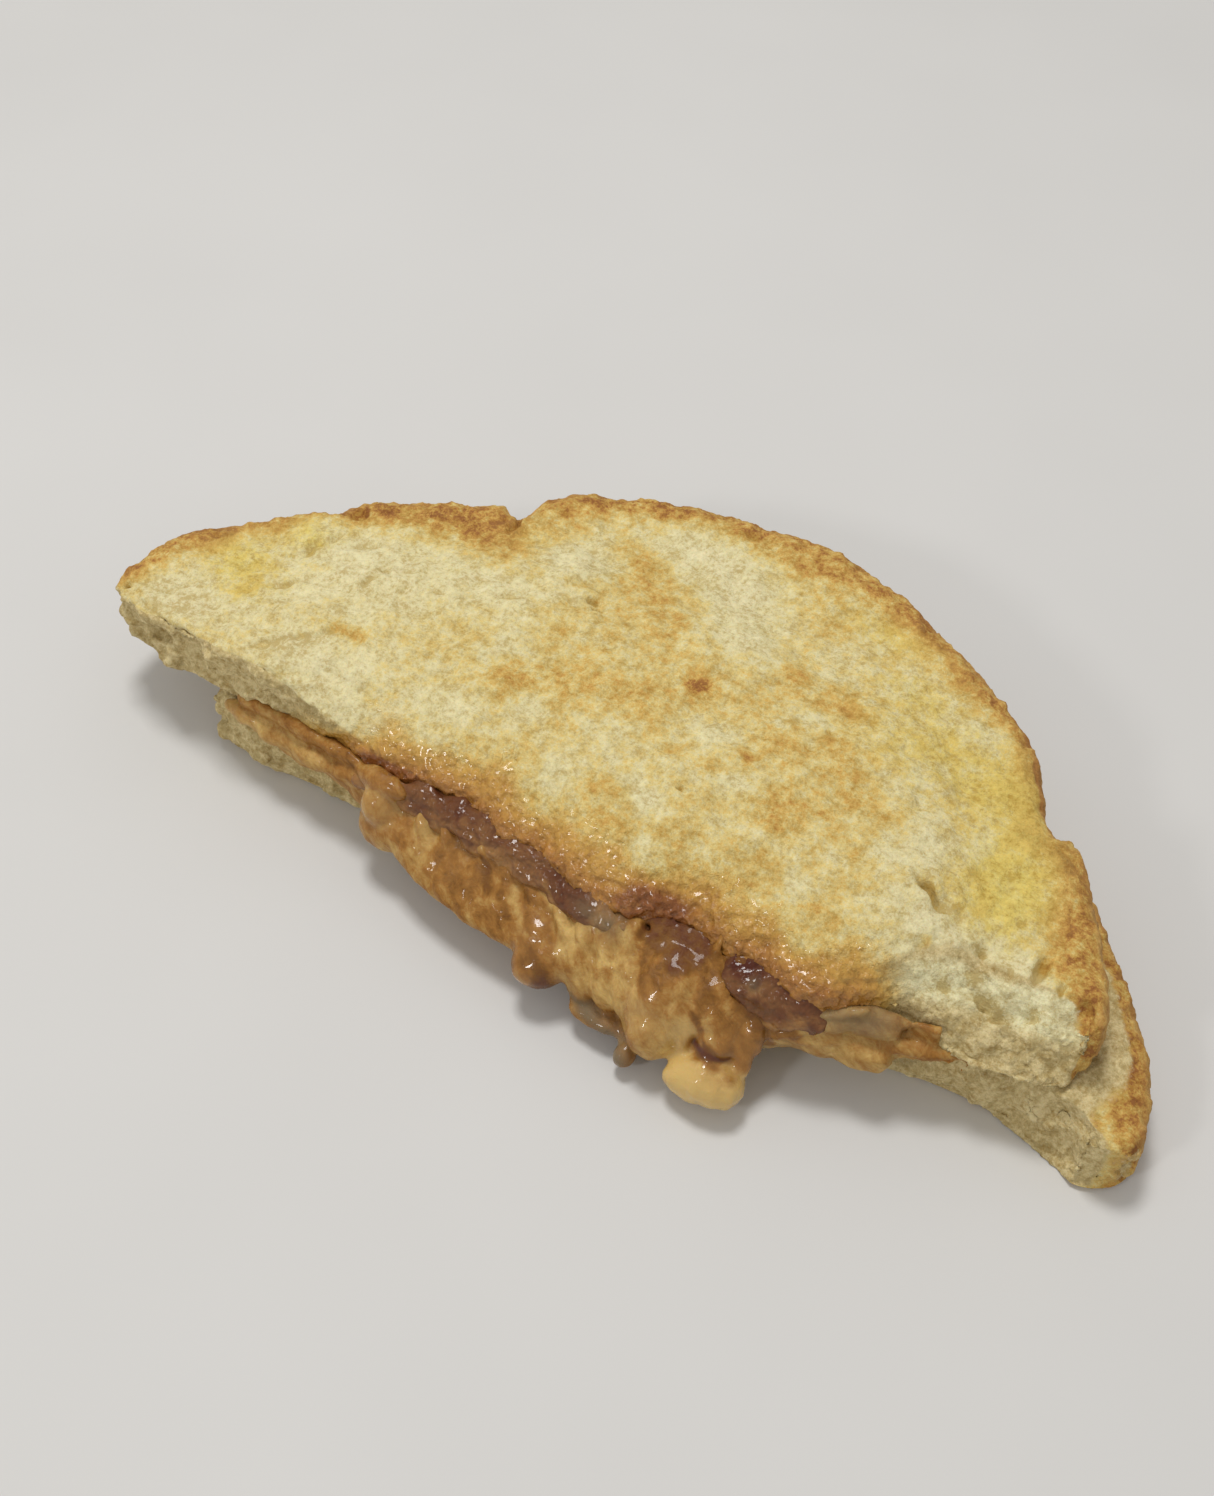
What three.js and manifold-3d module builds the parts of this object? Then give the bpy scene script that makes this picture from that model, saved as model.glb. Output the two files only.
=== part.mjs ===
// One half of a grilled peanut butter and jam sandwich, lying flat on its lower slice.
// Two slices of toasted white bread hold a layer of peanut butter with jam on top of it.
// The sandwich is cut straight across, and the warm filling runs out of the cut.
//
// Millimetres, +Z up. While it is built, X runs along the cut from the top slice's left tip,
// the cut faces -Y and the round crust lies towards +Y. The finished group is moved so that
// the middle of its underside is the origin.

import * as THREE from 'three';
import Module from 'manifold-3d';

const wasm = await Module();
wasm.setup();

// ---------------------------------------------------------------- driving dimensions

const BOTTOM_SLICE_THICKNESS = 11.5;
const TOP_SLICE_THICKNESS = 11.4;
const FILLING_THICKNESS = 2.9;
const CLEARANCE = 0.3; // between any two pieces that touch
const JAM_SHARE = 0.5; // of the filling's thickness, above the peanut butter

const CRUST_STEP = 4.6; // spacing of the points along the crust
const CUT_STEP = 3.8; // spacing of the points along the cut

// Crust edges are rounded all the way down, cut edges only lightly.
const CRUST_ROUND = 3.4;
const CUT_ROUND = 0.9;
const CRUST_SQUARENESS = 2.6;
const CUT_SQUARENESS = 5;

// The top slice's crust, clockwise from the left tip. It has a small step near the left
// tip, a crack that splits the rim, and another step near the right end.
const TOP_CRUST = [
  [-5.0, 3.4], [-9.2, 6.2], [-10.2, 10.0], [-7.0, 20.2], [2.0, 29.6], [12.0, 37.2],
  [12.8, 40.0], [26.2, 47.6], [34.8, 52.2], [37.6, 50.0], [38.4, 56.0], [42.0, 60.2],
  [58.0, 67.6], [72.0, 70.4], [92.0, 69.0], [111.0, 60.6], [128.5, 47.4], [135.4, 35.4],
  [138.4, 36.4], [147.6, 21.4], [151.6, 12.6], [151.8, 9.0],
];

// The top slice's cut, from the right end back to the left tip. The soaked middle bulges.
const TOP_CUT = [
  [151.8, 9.0], [150.6, 6.0], [146.0, 4.8], [140.0, 3.8], [134.0, 3.2], [129.0, 1.4],
  [124.0, -1.2], [118.6, -3.2], [113.0, -3.4], [109.0, -2.2], [104.0, -3.2], [99.5, -1.6],
  [95.0, -2.0], [90.0, -5.0], [84.0, -4.6], [75.0, -2.4], [67.5, -2.5], [61.0, -0.9],
  [48.0, -1.2], [40.0, 0.3], [28.0, 0.4], [12.0, 1.6], [1.0, 2.6], [-5.0, 3.4],
];

// The lower slice lies about 11 mm further right.
const BOTTOM_CRUST = [
  [12.4, 1.6], [10.8, 7.0], [15.0, 20.0], [30.0, 39.0], [50.0, 55.0], [75.0, 64.6],
  [101.0, 62.4], [127.0, 51.0], [146.0, 35.0], [156.0, 22.0], [161.4, 11.0], [163.0, 4.0],
];
const BOTTOM_CUT = [
  [163.0, 4.0], [161.8, 1.6], [156.2, -1.0], [153.8, 1.4], [149.0, 2.4], [143.0, 3.6],
  [134.0, 3.2], [126.0, 1.6], [118.0, 0.0], [96.0, 0.8], [60.0, 0.2], [34.0, 1.0],
  [20.0, 0.2], [12.4, 1.6],
];

// The rings of points that make each slice shrink towards a place in the middle of the half.
const RING_CENTRE = [76, 25];

// The filling is spread in half an ellipse, and thins out towards the crust.
const FILLING_CENTRE_X = 77;
const FILLING_HALF_LENGTH = 63;
const FILLING_DEPTH = 52;
const FILLING_FADE = 0.34;
const JAM_CENTRE_X = 80;
const JAM_HALF_LENGTH = 38;
const JAM_DEPTH = 38;

// The top slice was squeezed where the knife went in, and it is soaked there, so it sags
// along the cut. `depth` is how far behind the cut the sag reaches, and `squeeze` is the share
// of the filling that is pressed out from under it.
const SAG = { startX: 14, lowX: 48, riseX: 128, endX: 147, depth: 16, top: 7.6, squeeze: 0.4 };
// Nothing is under the left tip, so it droops.
const TIP = { startX: -8, endX: 24, top: 1.6, under: 1.4, underEndX: 9 };

// ---------------------------------------------------------------- small helpers

const clamp01 = (value) => Math.min(1, Math.max(0, value));

const lerp = (from, to, share) => from + (to - from) * share;

function smooth(from, to, value) {
  const share = clamp01((value - from) / (to - from));
  return share * share * (3 - 2 * share);
}

function ellipseInside(x, y, centreX, halfLength, depth) {
  return 1 - ((x - centreX) / halfLength) ** 2 - (y / depth) ** 2;
}

function solidOf(points, triangles) {
  const mesh = new wasm.Mesh({
    numProp: 3,
    vertProperties: new Float32Array(points.flat()),
    triVerts: new Uint32Array(triangles.flat()),
  });
  return new wasm.Manifold(mesh);
}

function joined(solids) {
  return solids.reduce((whole, next) => whole.add(next));
}

function meshOf(name, solid, material) {
  const { vertProperties, triVerts } = solid.getMesh();
  const geometry = new THREE.BufferGeometry();
  geometry.setAttribute('position', new THREE.BufferAttribute(vertProperties, 3));
  geometry.setIndex(new THREE.BufferAttribute(triVerts, 1));
  geometry.computeVertexNormals();
  const mesh = new THREE.Mesh(geometry, material);
  mesh.name = name;
  return mesh;
}

// ---------------------------------------------------------------- heights inside the sandwich

// Thickness of the whole filling at a place in plan.
function fillingAt(x, y) {
  const inside = ellipseInside(x, Math.max(y, 0), FILLING_CENTRE_X, FILLING_HALF_LENGTH, FILLING_DEPTH);
  return FILLING_THICKNESS * smooth(0, FILLING_FADE, inside);
}

// Where the top slice's cut line is at x.
function cutLineAt(x) {
  const right = TOP_CUT.findIndex(([cutX]) => cutX <= x);
  if (right < 0) return TOP_CUT[TOP_CUT.length - 1][1];
  if (right === 0) return TOP_CUT[0][1];
  const [highX, highY] = TOP_CUT[right - 1];
  const [lowX, lowY] = TOP_CUT[right];
  return lerp(lowY, highY, (x - lowX) / (highX - lowX));
}

// 1 at the cut where the slice is soaked, 0 well behind it and at both ends.
function sagAt(x, y) {
  const along = smooth(SAG.startX, SAG.lowX, x) * (1 - smooth(SAG.riseX, SAG.endX, x));
  return along * (1 - clamp01((y - cutLineAt(x)) / SAG.depth)) ** 1.8;
}

function topUnderside(x, y) {
  const seat = BOTTOM_SLICE_THICKNESS + CLEARANCE;
  const tip = 1 - smooth(TIP.startX, TIP.underEndX, x);
  return seat + fillingAt(x, y) * (1 - SAG.squeeze * sagAt(x, y)) - TIP.under * tip;
}

// The upper face follows the filling below it, softly uneven as pressed bread is.
function topSurface(x, y) {
  const filling = fillingAt(x, y);
  const uneven = 0.35 * Math.sin(x / 11 + y / 17) * Math.cos(y / 9 - x / 23);
  const tip = 1 - smooth(TIP.startX, TIP.endX, x);
  const flat = BOTTOM_SLICE_THICKNESS + CLEARANCE + filling + TOP_SLICE_THICKNESS + uneven;
  return flat - SAG.top * sagAt(x, y) - TIP.top * tip;
}

function bottomSurface(x, y) {
  return BOTTOM_SLICE_THICKNESS - 0.5 * (1 - smooth(0, 0.2, ellipseInside(x, y, 87, 78, 66)));
}

// ---------------------------------------------------------------- bread

// Points along a smooth curve through the control points, which all stay on the outline.
function sampledCurve(controls, step, crust) {
  const curve = new THREE.CatmullRomCurve3(
    controls.map(([x, y]) => new THREE.Vector3(x, y, 0)), false, 'centripetal',
  );
  const spans = controls.length - 1;
  const samples = [];
  for (let span = 0; span < spans; span += 1) {
    const [fromX, fromY] = controls[span];
    const [toX, toY] = controls[span + 1];
    const parts = Math.max(1, Math.round(Math.hypot(toX - fromX, toY - fromY) / step));
    for (let part = 0; part < parts; part += 1) {
      const point = curve.getPoint((span + part / parts) / spans);
      samples.push({ x: point.x, y: point.y, crust });
    }
  }
  return samples;
}

// The closed outline of a slice, with the outward direction at each point.
function sliceOutline(crustControls, cutControls) {
  const outline = [
    ...sampledCurve(crustControls, CRUST_STEP, 1),
    ...sampledCurve(cutControls, CUT_STEP, 0),
  ];
  const count = outline.length;
  outline.forEach((point, index) => {
    const near = [-2, -1, 0, 1, 2].map((offset) => outline[(index + count + offset) % count]);
    const alongX = near[3].x - near[1].x + (near[4].x - near[0].x) / 2;
    const alongY = near[3].y - near[1].y + (near[4].y - near[0].y) / 2;
    const length = Math.hypot(alongX, alongY);
    point.softX = near.reduce((sum, { x }) => sum + x, 0) / near.length;
    point.softY = near.reduce((sum, { y }) => sum + y, 0) / near.length;
    point.outX = -alongY / length;
    point.outY = alongX / length;
    point.round = near.reduce((sum, { crust }) => sum + crust, 0) / near.length;
  });
  return outline;
}

// How far the edge steps back at a height between the underside, 0, and the top, 1.
function edgeInset(round, height) {
  const radius = lerp(CUT_ROUND, CRUST_ROUND, round);
  const power = lerp(CUT_SQUARENESS, CRUST_SQUARENESS, round);
  const fromMiddle = Math.abs(2 * height - 1);
  return radius * (1 - (1 - fromMiddle ** power) ** (1 / power));
}

// A slice is rings of points: out across the underside, up the edge, and in across the top.
// The rings on the faces follow a softened outline, so a crack stays in the edge.
function sliceSolid({ outline, underAt, topAt, underRings, topRings }, grow) {
  const points = [];
  const rings = [];
  const addRing = (shrink, height) => {
    rings.push(points.length);
    const onEdge = shrink === 1;
    outline.forEach(({ x, y, softX, softY, outX, outY, round }) => {
      const out = (onEdge ? grow : 0) - edgeInset(round, height);
      const px = lerp(RING_CENTRE[0], (onEdge ? x : softX) + outX * out, shrink);
      const py = lerp(RING_CENTRE[1], (onEdge ? y : softY) + outY * out, shrink);
      points.push([px, py, lerp(underAt(px, py) - grow, topAt(px, py) + grow, height)]);
    });
  };
  underRings.forEach((shrink) => addRing(shrink, 0));
  [0, 0.1, 0.3, 0.7, 0.9, 1].forEach((height) => addRing(1, height));
  topRings.forEach((shrink) => addRing(shrink, 1));

  const triangles = [];
  const count = outline.length;
  for (let ring = 0; ring + 1 < rings.length; ring += 1) {
    for (let index = 0; index < count; index += 1) {
      const next = (index + 1) % count;
      const [low, lowNext] = [rings[ring] + index, rings[ring] + next];
      const [high, highNext] = [rings[ring + 1] + index, rings[ring + 1] + next];
      triangles.push([low, high, lowNext], [lowNext, high, highNext]);
    }
  }
  const [centreX, centreY] = RING_CENTRE;
  const underCentre = points.push([centreX, centreY, underAt(centreX, centreY) - grow]) - 1;
  const topCentre = points.push([centreX, centreY, topAt(centreX, centreY) + grow]) - 1;
  const lastRing = rings[rings.length - 1];
  for (let index = 0; index < count; index += 1) {
    const next = (index + 1) % count;
    triangles.push([index, next, underCentre], [lastRing + index, topCentre, lastRing + next]);
  }
  return solidOf(points, triangles);
}

const TOP_SLICE = {
  outline: sliceOutline(TOP_CRUST, TOP_CUT),
  underAt: topUnderside,
  topAt: topSurface,
  underRings: [0.5, 0.86],
  topRings: [0.93, 0.82, 0.64, 0.34],
};
const BOTTOM_SLICE = {
  outline: sliceOutline(BOTTOM_CRUST, BOTTOM_CUT),
  underAt: () => 0,
  topAt: bottomSurface,
  underRings: [],
  topRings: [0.9, 0.5],
};

// ---------------------------------------------------------------- filling

// Numbers between the stations of a profile table: [x, value, value, ...].
function profileAt(stations, x) {
  const above = stations.findIndex(([stationX]) => stationX >= x);
  if (above <= 0) return stations[above === 0 ? 0 : stations.length - 1].slice(1);
  const [fromX, ...from] = stations[above - 1];
  const [toX, ...to] = stations[above];
  const share = smooth(fromX, toX, x);
  return from.map((value, index) => lerp(value, to[index], share));
}

// A solid through equal closed sections, each a list of [y, z] at one x.
function loft(sections) {
  const count = sections[0].outline.length;
  const points = sections.flatMap(({ x, outline }) => outline.map(([y, z]) => [x, y, z]));
  const triangles = [];
  for (let section = 0; section + 1 < sections.length; section += 1) {
    for (let index = 0; index < count; index += 1) {
      const next = (index + 1) % count;
      const [here, hereNext] = [section * count + index, section * count + next];
      const [there, thereNext] = [here + count, hereNext + count];
      triangles.push([here, hereNext, there], [hereNext, thereNext, there]);
    }
  }
  const last = (sections.length - 1) * count;
  for (let index = 1; index + 1 < count; index += 1) {
    triangles.push([0, index + 1, index], [last, last + index, last + index + 1]);
  }
  return solidOf(points, triangles);
}

// Filling that hangs in front of the cut: it leaves the slices at `high`, runs down and out
// to `reach` in front of the cut, and ends at `low`.
function curtain(stations, { step, backY, backLow, ripple }) {
  const firstX = stations[0][0];
  const lastX = stations[stations.length - 1][0];
  const count = Math.round((lastX - firstX) / step);
  const sections = [];
  for (let index = 0; index <= count; index += 1) {
    const x = lerp(firstX, lastX, index / count);
    const [reach, low, high] = profileAt(stations, x);
    const wave = ripple * Math.sin(x * 0.9 + 0.6 * Math.sin(x / 3));
    const startY = cutLineAt(x) - 0.4;
    const front = Math.min(startY - 0.2, -reach - wave);
    const tall = high - low;
    const bend = new THREE.CubicBezierCurve(
      new THREE.Vector2(startY, high),
      new THREE.Vector2(lerp(startY, front, 0.75), high - 0.06 * tall),
      new THREE.Vector2(front * 1.12, low + 0.5 * tall),
      new THREE.Vector2(lerp(front, 0, 0.22), low),
    );
    const frontPoints = bend.getPoints(5).map(({ x: y, y: z }) => [y, z]);
    const backEdge = Math.max(backLow, low);
    sections.push({ x, outline: [...frontPoints, [0.6, low + 0.2], [backY, backEdge], [backY, high + 1]] });
  }
  return loft(sections);
}

// A flat lens between two heights with a half-ellipse outline, for the spread layers.
function spreadLayer(centreX, halfLength, depth, low, high) {
  const shape = new THREE.Shape();
  shape.absellipse(centreX, 1.2, halfLength, depth, 0, Math.PI, false);
  const outline = shape.getPoints(20).map(({ x, y }) => [x, y]);
  const count = outline.length;
  const points = [low, high].flatMap((z) => outline.map(([x, y]) => [x, y, z]));
  const triangles = [];
  for (let index = 0; index < count; index += 1) {
    const next = (index + 1) % count;
    triangles.push([index, next, index + count], [next, next + count, index + count]);
  }
  for (let index = 1; index + 1 < count; index += 1) {
    triangles.push([0, index + 1, index], [count, count + index, count + index + 1]);
  }
  return solidOf(points, triangles);
}

// A rounded lobe. `lean` tips its lower end forward, out of the sandwich.
function lobe({ at: [x, y, z], size: [sizeX, sizeY, sizeZ], lean = 0 }) {
  const sphere = new THREE.SphereGeometry(1, 12, 8);
  sphere.scale(sizeX, sizeZ, sizeY);
  sphere.rotateX(THREE.MathUtils.degToRad(90 - lean));
  sphere.translate(x, y, z);
  const position = sphere.getAttribute('position');
  const key = (index) => [0, 1, 2].map((axis) => position.array[3 * index + axis].toFixed(4)).join();
  const points = [];
  const numberOf = new Map();
  const merged = Array.from({ length: position.count }, (_, index) => {
    const place = key(index);
    if (!numberOf.has(place)) {
      numberOf.set(place, points.length);
      points.push([position.getX(index), position.getY(index), position.getZ(index)]);
    }
    return numberOf.get(place);
  });
  const triangles = [];
  for (let corner = 0; corner < sphere.index.count; corner += 3) {
    const [a, b, c] = [0, 1, 2].map((offset) => merged[sphere.index.getX(corner + offset)]);
    if (a !== b && b !== c && c !== a) triangles.push([a, b, c]);
  }
  return solidOf(points, triangles);
}

// Profile of the peanut butter at the cut: x, reach, low, high. A negative reach stays
// behind the lower slice's cut, on its upper face.
const PEANUT_BUTTER_STATIONS = [
  [17, 0.2, 11.4, 12.6],
  [26, 1.4, 9.6, 14.0],
  [36, 2.0, 9.2, 14.6],
  [43, 3.4, 8.6, 14.4],
  [50, 6.6, 6.4, 14.0],
  [58, 8.0, 5.0, 13.2],
  [68, 9.6, 3.8, 13.0],
  [78, 11.6, 3.0, 13.4],
  [88, 12.0, 2.6, 15.6],
  [96, 14.2, 2.0, 17.8],
  [103, 14.6, 2.0, 17.8],
  [108, 11.6, 2.2, 16.6],
  [112, 8.0, 4.6, 15.0],
  [118, 6.4, 7.0, 14.6],
  [125, 3.8, 7.4, 14.0],
  [131, 0.6, 9.0, 13.6],
  [136, -2.2, 10.6, 13.2],
  [141, -5.4, 11.6, 12.6],
];

const PEANUT_BUTTER_LOBES = [
  { at: [50, -4.6, 9.4], size: [5.4, 3.4, 3.8], lean: 20 }, // small glossy lobe at the left
  { at: [80, -8.4, 8.0], size: [3.4, 4.2, 5.6], lean: 35 }, // upright folds
  { at: [87.5, -8.8, 8.4], size: [3.4, 4.2, 6.4], lean: 35 },
  { at: [99, -9.0, 9.8], size: [6.6, 5.6, 8.8], lean: 38 }, // the large lobe
  { at: [107.5, -9.6, 8.0], size: [3.8, 3.8, 7.0], lean: 38 }, // fold above the drop
  { at: [108.6, -14.0, 4.5], size: [5.8, 4.6, 3.8], lean: 20 }, // the falling drop
  { at: [92.0, -13.4, 4.2], size: [6.0, 2.2, 1.5], lean: 0 }, // thin drip
  { at: [96.8, -16.0, 3.0], size: [1.7, 1.9, 1.9], lean: 20 },
  { at: [124.5, -1.8, 9.2], size: [5.4, 3.2, 2.6], lean: 20 }, // lobe below the right strands
];

// Profile of the jam that shows under the top slice's edge, left and right of the lobe.
const LEFT_JAM_STATIONS = [
  [42, 3.0, 13.2, 14.6],
  [48, 4.0, 11.6, 17.6],
  [57, 4.6, 11.0, 18.0],
  [67, 5.4, 10.8, 18.0],
  [76, 6.6, 10.8, 18.0],
  [83, 8.2, 11.2, 18.0],
  [90, 8.0, 12.4, 17.8],
  [94, 6.0, 14.2, 16.6],
];
const RIGHT_JAM_STATIONS = [
  [102, 4.8, 13.2, 15.2],
  [106, 7.6, 9.0, 17.8],
  [112, 7.8, 7.6, 17.8],
  [117, 6.6, 10.2, 17.4],
  [120.5, 5.2, 13.0, 15.4],
];

const layerFloor = BOTTOM_SLICE_THICKNESS - 1.5;
const layerCeiling = BOTTOM_SLICE_THICKNESS + FILLING_THICKNESS + 2;
const jamFloor = BOTTOM_SLICE_THICKNESS + CLEARANCE + FILLING_THICKNESS * (1 - JAM_SHARE);

function jamSolid(grow) {
  const behindCut = { step: 3.0, backY: 5, backLow: jamFloor - grow, ripple: 0.25 };
  const widen = ([x, reach, low, high]) => [x, reach + grow, low - grow, high + grow];
  return joined([
    curtain(LEFT_JAM_STATIONS.map(widen), behindCut),
    curtain(RIGHT_JAM_STATIONS.map(widen), behindCut),
    spreadLayer(JAM_CENTRE_X, JAM_HALF_LENGTH + grow, JAM_DEPTH + grow, jamFloor - grow, layerCeiling),
  ]);
}

function peanutButterSolid() {
  const behindCut = { step: 2.6, backY: 4, backLow: layerFloor, ripple: 0.45 };
  return joined([
    curtain(PEANUT_BUTTER_STATIONS, behindCut),
    spreadLayer(FILLING_CENTRE_X, FILLING_HALF_LENGTH - 6, FILLING_DEPTH - 4, layerFloor, layerCeiling),
    ...PEANUT_BUTTER_LOBES.map(lobe),
  ]);
}

// Only the largest piece of a trimmed filling is kept: slivers at its rim are crumbs.
function largest(solid) {
  return solid.decompose().reduce((best, next) => (next.volume() > best.volume() ? next : best));
}

const topCutter = sliceSolid(TOP_SLICE, CLEARANCE);
const bottomCutter = sliceSolid(BOTTOM_SLICE, CLEARANCE);
const jam = largest(jamSolid(0).subtract(topCutter).subtract(bottomCutter));
const jamCutter = jamSolid(CLEARANCE);
const peanutButter = largest(
  peanutButterSolid().subtract(topCutter).subtract(bottomCutter).subtract(jamCutter),
);

// ---------------------------------------------------------------- the sandwich

const toastedBread = new THREE.MeshStandardMaterial({ color: 0xcdac62, roughness: 0.8 });
const palerBread = new THREE.MeshStandardMaterial({ color: 0xc3b080, roughness: 0.85 });
const meltedPeanutButter = new THREE.MeshStandardMaterial({ color: 0xa8763f, roughness: 0.35 });
const redJam = new THREE.MeshStandardMaterial({ color: 0x6b3a2c, roughness: 0.2 });

const sandwich = new THREE.Group();
sandwich.add(
  meshOf('bread_slice_bottom', sliceSolid(BOTTOM_SLICE, 0), palerBread),
  meshOf('peanut_butter', peanutButter, meltedPeanutButter),
  meshOf('jam', jam, redJam),
  meshOf('bread_slice_top', sliceSolid(TOP_SLICE, 0), toastedBread),
);

const box = new THREE.Box3().setFromObject(sandwich);
sandwich.position.set(-(box.min.x + box.max.x) / 2, -(box.min.y + box.max.y) / 2, -box.min.z);

const group = new THREE.Group();
group.add(sandwich);

export default group;
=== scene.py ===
# %% [markdown]
# # Half of a grilled peanut butter and jam sandwich
# Two slices of toasted white bread lie on each other, with peanut butter and jam between
# them. The sandwich was cut straight across while it was hot, so the filling runs out of the
# cut in lobes and drops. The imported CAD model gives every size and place. This script makes
# the fine shapes and the finishes around it.

from math import radians

import bpy
import numpy as np
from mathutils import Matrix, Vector, kdtree


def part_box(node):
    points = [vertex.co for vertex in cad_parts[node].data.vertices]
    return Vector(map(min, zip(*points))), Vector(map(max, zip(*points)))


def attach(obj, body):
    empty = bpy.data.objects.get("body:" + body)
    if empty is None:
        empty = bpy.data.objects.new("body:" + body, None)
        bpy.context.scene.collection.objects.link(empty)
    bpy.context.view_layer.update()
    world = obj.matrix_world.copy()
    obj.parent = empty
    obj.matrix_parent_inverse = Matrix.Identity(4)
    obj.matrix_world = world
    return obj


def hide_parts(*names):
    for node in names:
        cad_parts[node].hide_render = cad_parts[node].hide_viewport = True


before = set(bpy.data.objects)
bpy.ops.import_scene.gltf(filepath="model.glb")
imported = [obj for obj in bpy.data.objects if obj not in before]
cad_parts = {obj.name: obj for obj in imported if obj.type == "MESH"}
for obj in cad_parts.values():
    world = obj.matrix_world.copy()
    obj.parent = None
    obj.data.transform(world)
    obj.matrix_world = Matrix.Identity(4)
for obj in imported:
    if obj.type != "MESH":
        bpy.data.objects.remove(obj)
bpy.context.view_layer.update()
print("CAD nodes:", sorted(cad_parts))

# %% [markdown]
# ## Measures
# A baker's ruler is in millimetres, and Blender works in metres here. All places below are
# millimetres from the left end of the cut: x runs along the cut, y goes back towards the
# round crust, and z goes up from the table. The CAD boxes say where that point lies, so
# nothing has to be fitted by eye.

# %% A ruler that starts at the left end of the cut
MM = 0.001
TIP_BEFORE_CUT = 10.1
CUT_CORNER_IN_FRONT = 1.2

upper_low, upper_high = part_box("bread_slice_top")
lower_low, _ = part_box("bread_slice_bottom")
START = Vector((upper_low.x + TIP_BEFORE_CUT * MM, lower_low.y + CUT_CORNER_IN_FRONT * MM, 0))


def place(x, y, z):
    """A point in metres from its millimetres along the cut, behind it and above the table."""
    return START + Vector((x, y, z)) * MM


print("start of the cut:", [round(value / MM, 1) for value in START])
print("upper slice:", [round(value / MM, 1) for value in upper_high - upper_low], "mm")

# %% [markdown]
# ## Camera
# The half is seen from half above and a little from the right, so that the toasted face, the
# cut and the drops all show. A camera can be aimed with a constraint, but constraints stay
# live. Two angles and a place are enough, and they are easy to read.

# %% The camera
EYE = place(156.2, -136.5, 227.8)
LOOK_DOWN = 50
LOOK_LEFT = 32.04
LENS = 44.95
SHIFT = 0.0535

camera_data = bpy.data.cameras.new("camera")
camera_data.lens = LENS
camera_data.sensor_width = 36
camera_data.shift_x = SHIFT
camera = bpy.data.objects.new("camera", camera_data)
bpy.context.scene.collection.objects.link(camera)
camera.location = EYE
camera.rotation_euler = (radians(90 - LOOK_DOWN), 0, radians(LOOK_LEFT))
bpy.context.scene.camera = camera
print("camera at", [round(value, 3) for value in EYE])

# %% [markdown]
# ## Tools for shaping
# Most steps below are the same few moves: start from a plain solid, melt it into one even
# skin with a voxel remesh, and smooth it. Each move is applied at once, so the next one
# works on the real mesh. Operators act on whatever is selected, so every tool first selects
# its one piece and nothing else.

# %% Selecting and applying
def only(piece):
    """Select one piece and nothing else."""
    bpy.ops.object.select_all(action="DESELECT")
    piece.select_set(True)
    bpy.context.view_layer.objects.active = piece


def finish_modifier(piece, kind, **settings):
    """Add a modifier with its settings and apply it."""
    only(piece)
    made = piece.modifiers.new(kind.lower(), kind)
    for name, value in settings.items():
        setattr(made, name, value)
    bpy.ops.object.modifier_apply(modifier=made.name)


def melt(piece, voxel, rounds):
    """One even skin over everything in the piece, then smoothed."""
    finish_modifier(piece, "REMESH", mode="VOXEL", voxel_size=voxel * MM)
    finish_modifier(piece, "SMOOTH", factor=0.5, iterations=rounds)


print("modifiers are applied at once")

# %% Copying a solid and editing faces
MERGE_DISTANCE = 0.002


def copy_of_node(node, name):
    """A copy of a CAD node's solid, with its loose triangles merged."""
    piece = bpy.data.objects.new(name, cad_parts[node].data.copy())
    bpy.context.scene.collection.objects.link(piece)
    piece.data.materials.clear()
    only(piece)
    bpy.ops.object.mode_set(mode="EDIT")
    bpy.ops.mesh.select_all(action="SELECT")
    bpy.ops.mesh.remove_doubles(threshold=MERGE_DISTANCE * MM)
    bpy.ops.object.mode_set(mode="OBJECT")
    return piece


def edit_faces(piece, chosen, operator, **settings):
    """Run an edit-mode operator on the chosen faces only."""
    only(piece)
    bpy.ops.object.mode_set(mode="EDIT")
    bpy.ops.mesh.select_mode(type="FACE")
    bpy.ops.mesh.select_all(action="DESELECT")
    bpy.ops.object.mode_set(mode="OBJECT")
    piece.data.polygons.foreach_set("select", chosen)
    bpy.ops.object.mode_set(mode="EDIT")
    operator(**settings)
    bpy.ops.object.mode_set(mode="OBJECT")
    print(piece.name, "now has", len(piece.data.polygons), "faces")


print("doubles merge within", MERGE_DISTANCE, "mm")

# %% Reading a mesh as arrays
def values_of(layer, what):
    """One vector for each element of a mesh, as rows of x, y and z."""
    values = np.empty(3 * len(layer), np.float32)
    layer.foreach_get(what, values)
    return values.reshape(-1, 3)


def on_ruler(values):
    """Blender's metres as millimetres on the ruler."""
    return ((values - np.array(START)) / MM).astype(float)


def points_of(piece):
    """Every point of a piece, in millimetres on the ruler."""
    return on_ruler(values_of(piece.data.vertices, "co"))


def directions_of(piece):
    """The direction each point of the skin faces."""
    return values_of(piece.data.vertex_normals, "vector").astype(float)


def face_centres(piece):
    """The middle of every face, in millimetres on the ruler."""
    return on_ruler(values_of(piece.data.polygons, "center"))


def face_directions(piece):
    """The direction each face looks in."""
    return values_of(piece.data.polygons, "normal").astype(float)


print("the CAD jam has", len(points_of(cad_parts["jam"])), "loose points")

# %% [markdown]
# ## The slices of bread
# A slice of toast is soft crumb with a thin hard crust. It could be sculpted by hand, but the
# CAD solid already has its true outline, sag and crack. So each slice starts as a copy of
# that solid, melted into an even skin of half-millimetre faces. The cut face gets finer
# faces for its pores, and the face that nobody sees gets few.

# %% A slice as an even skin
BREAD_VOXEL = 0.48
BREAD_SMOOTHING = 8
UPRIGHT, FORWARD, CUT_DEPTH = 0.6, -0.3, 14


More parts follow.
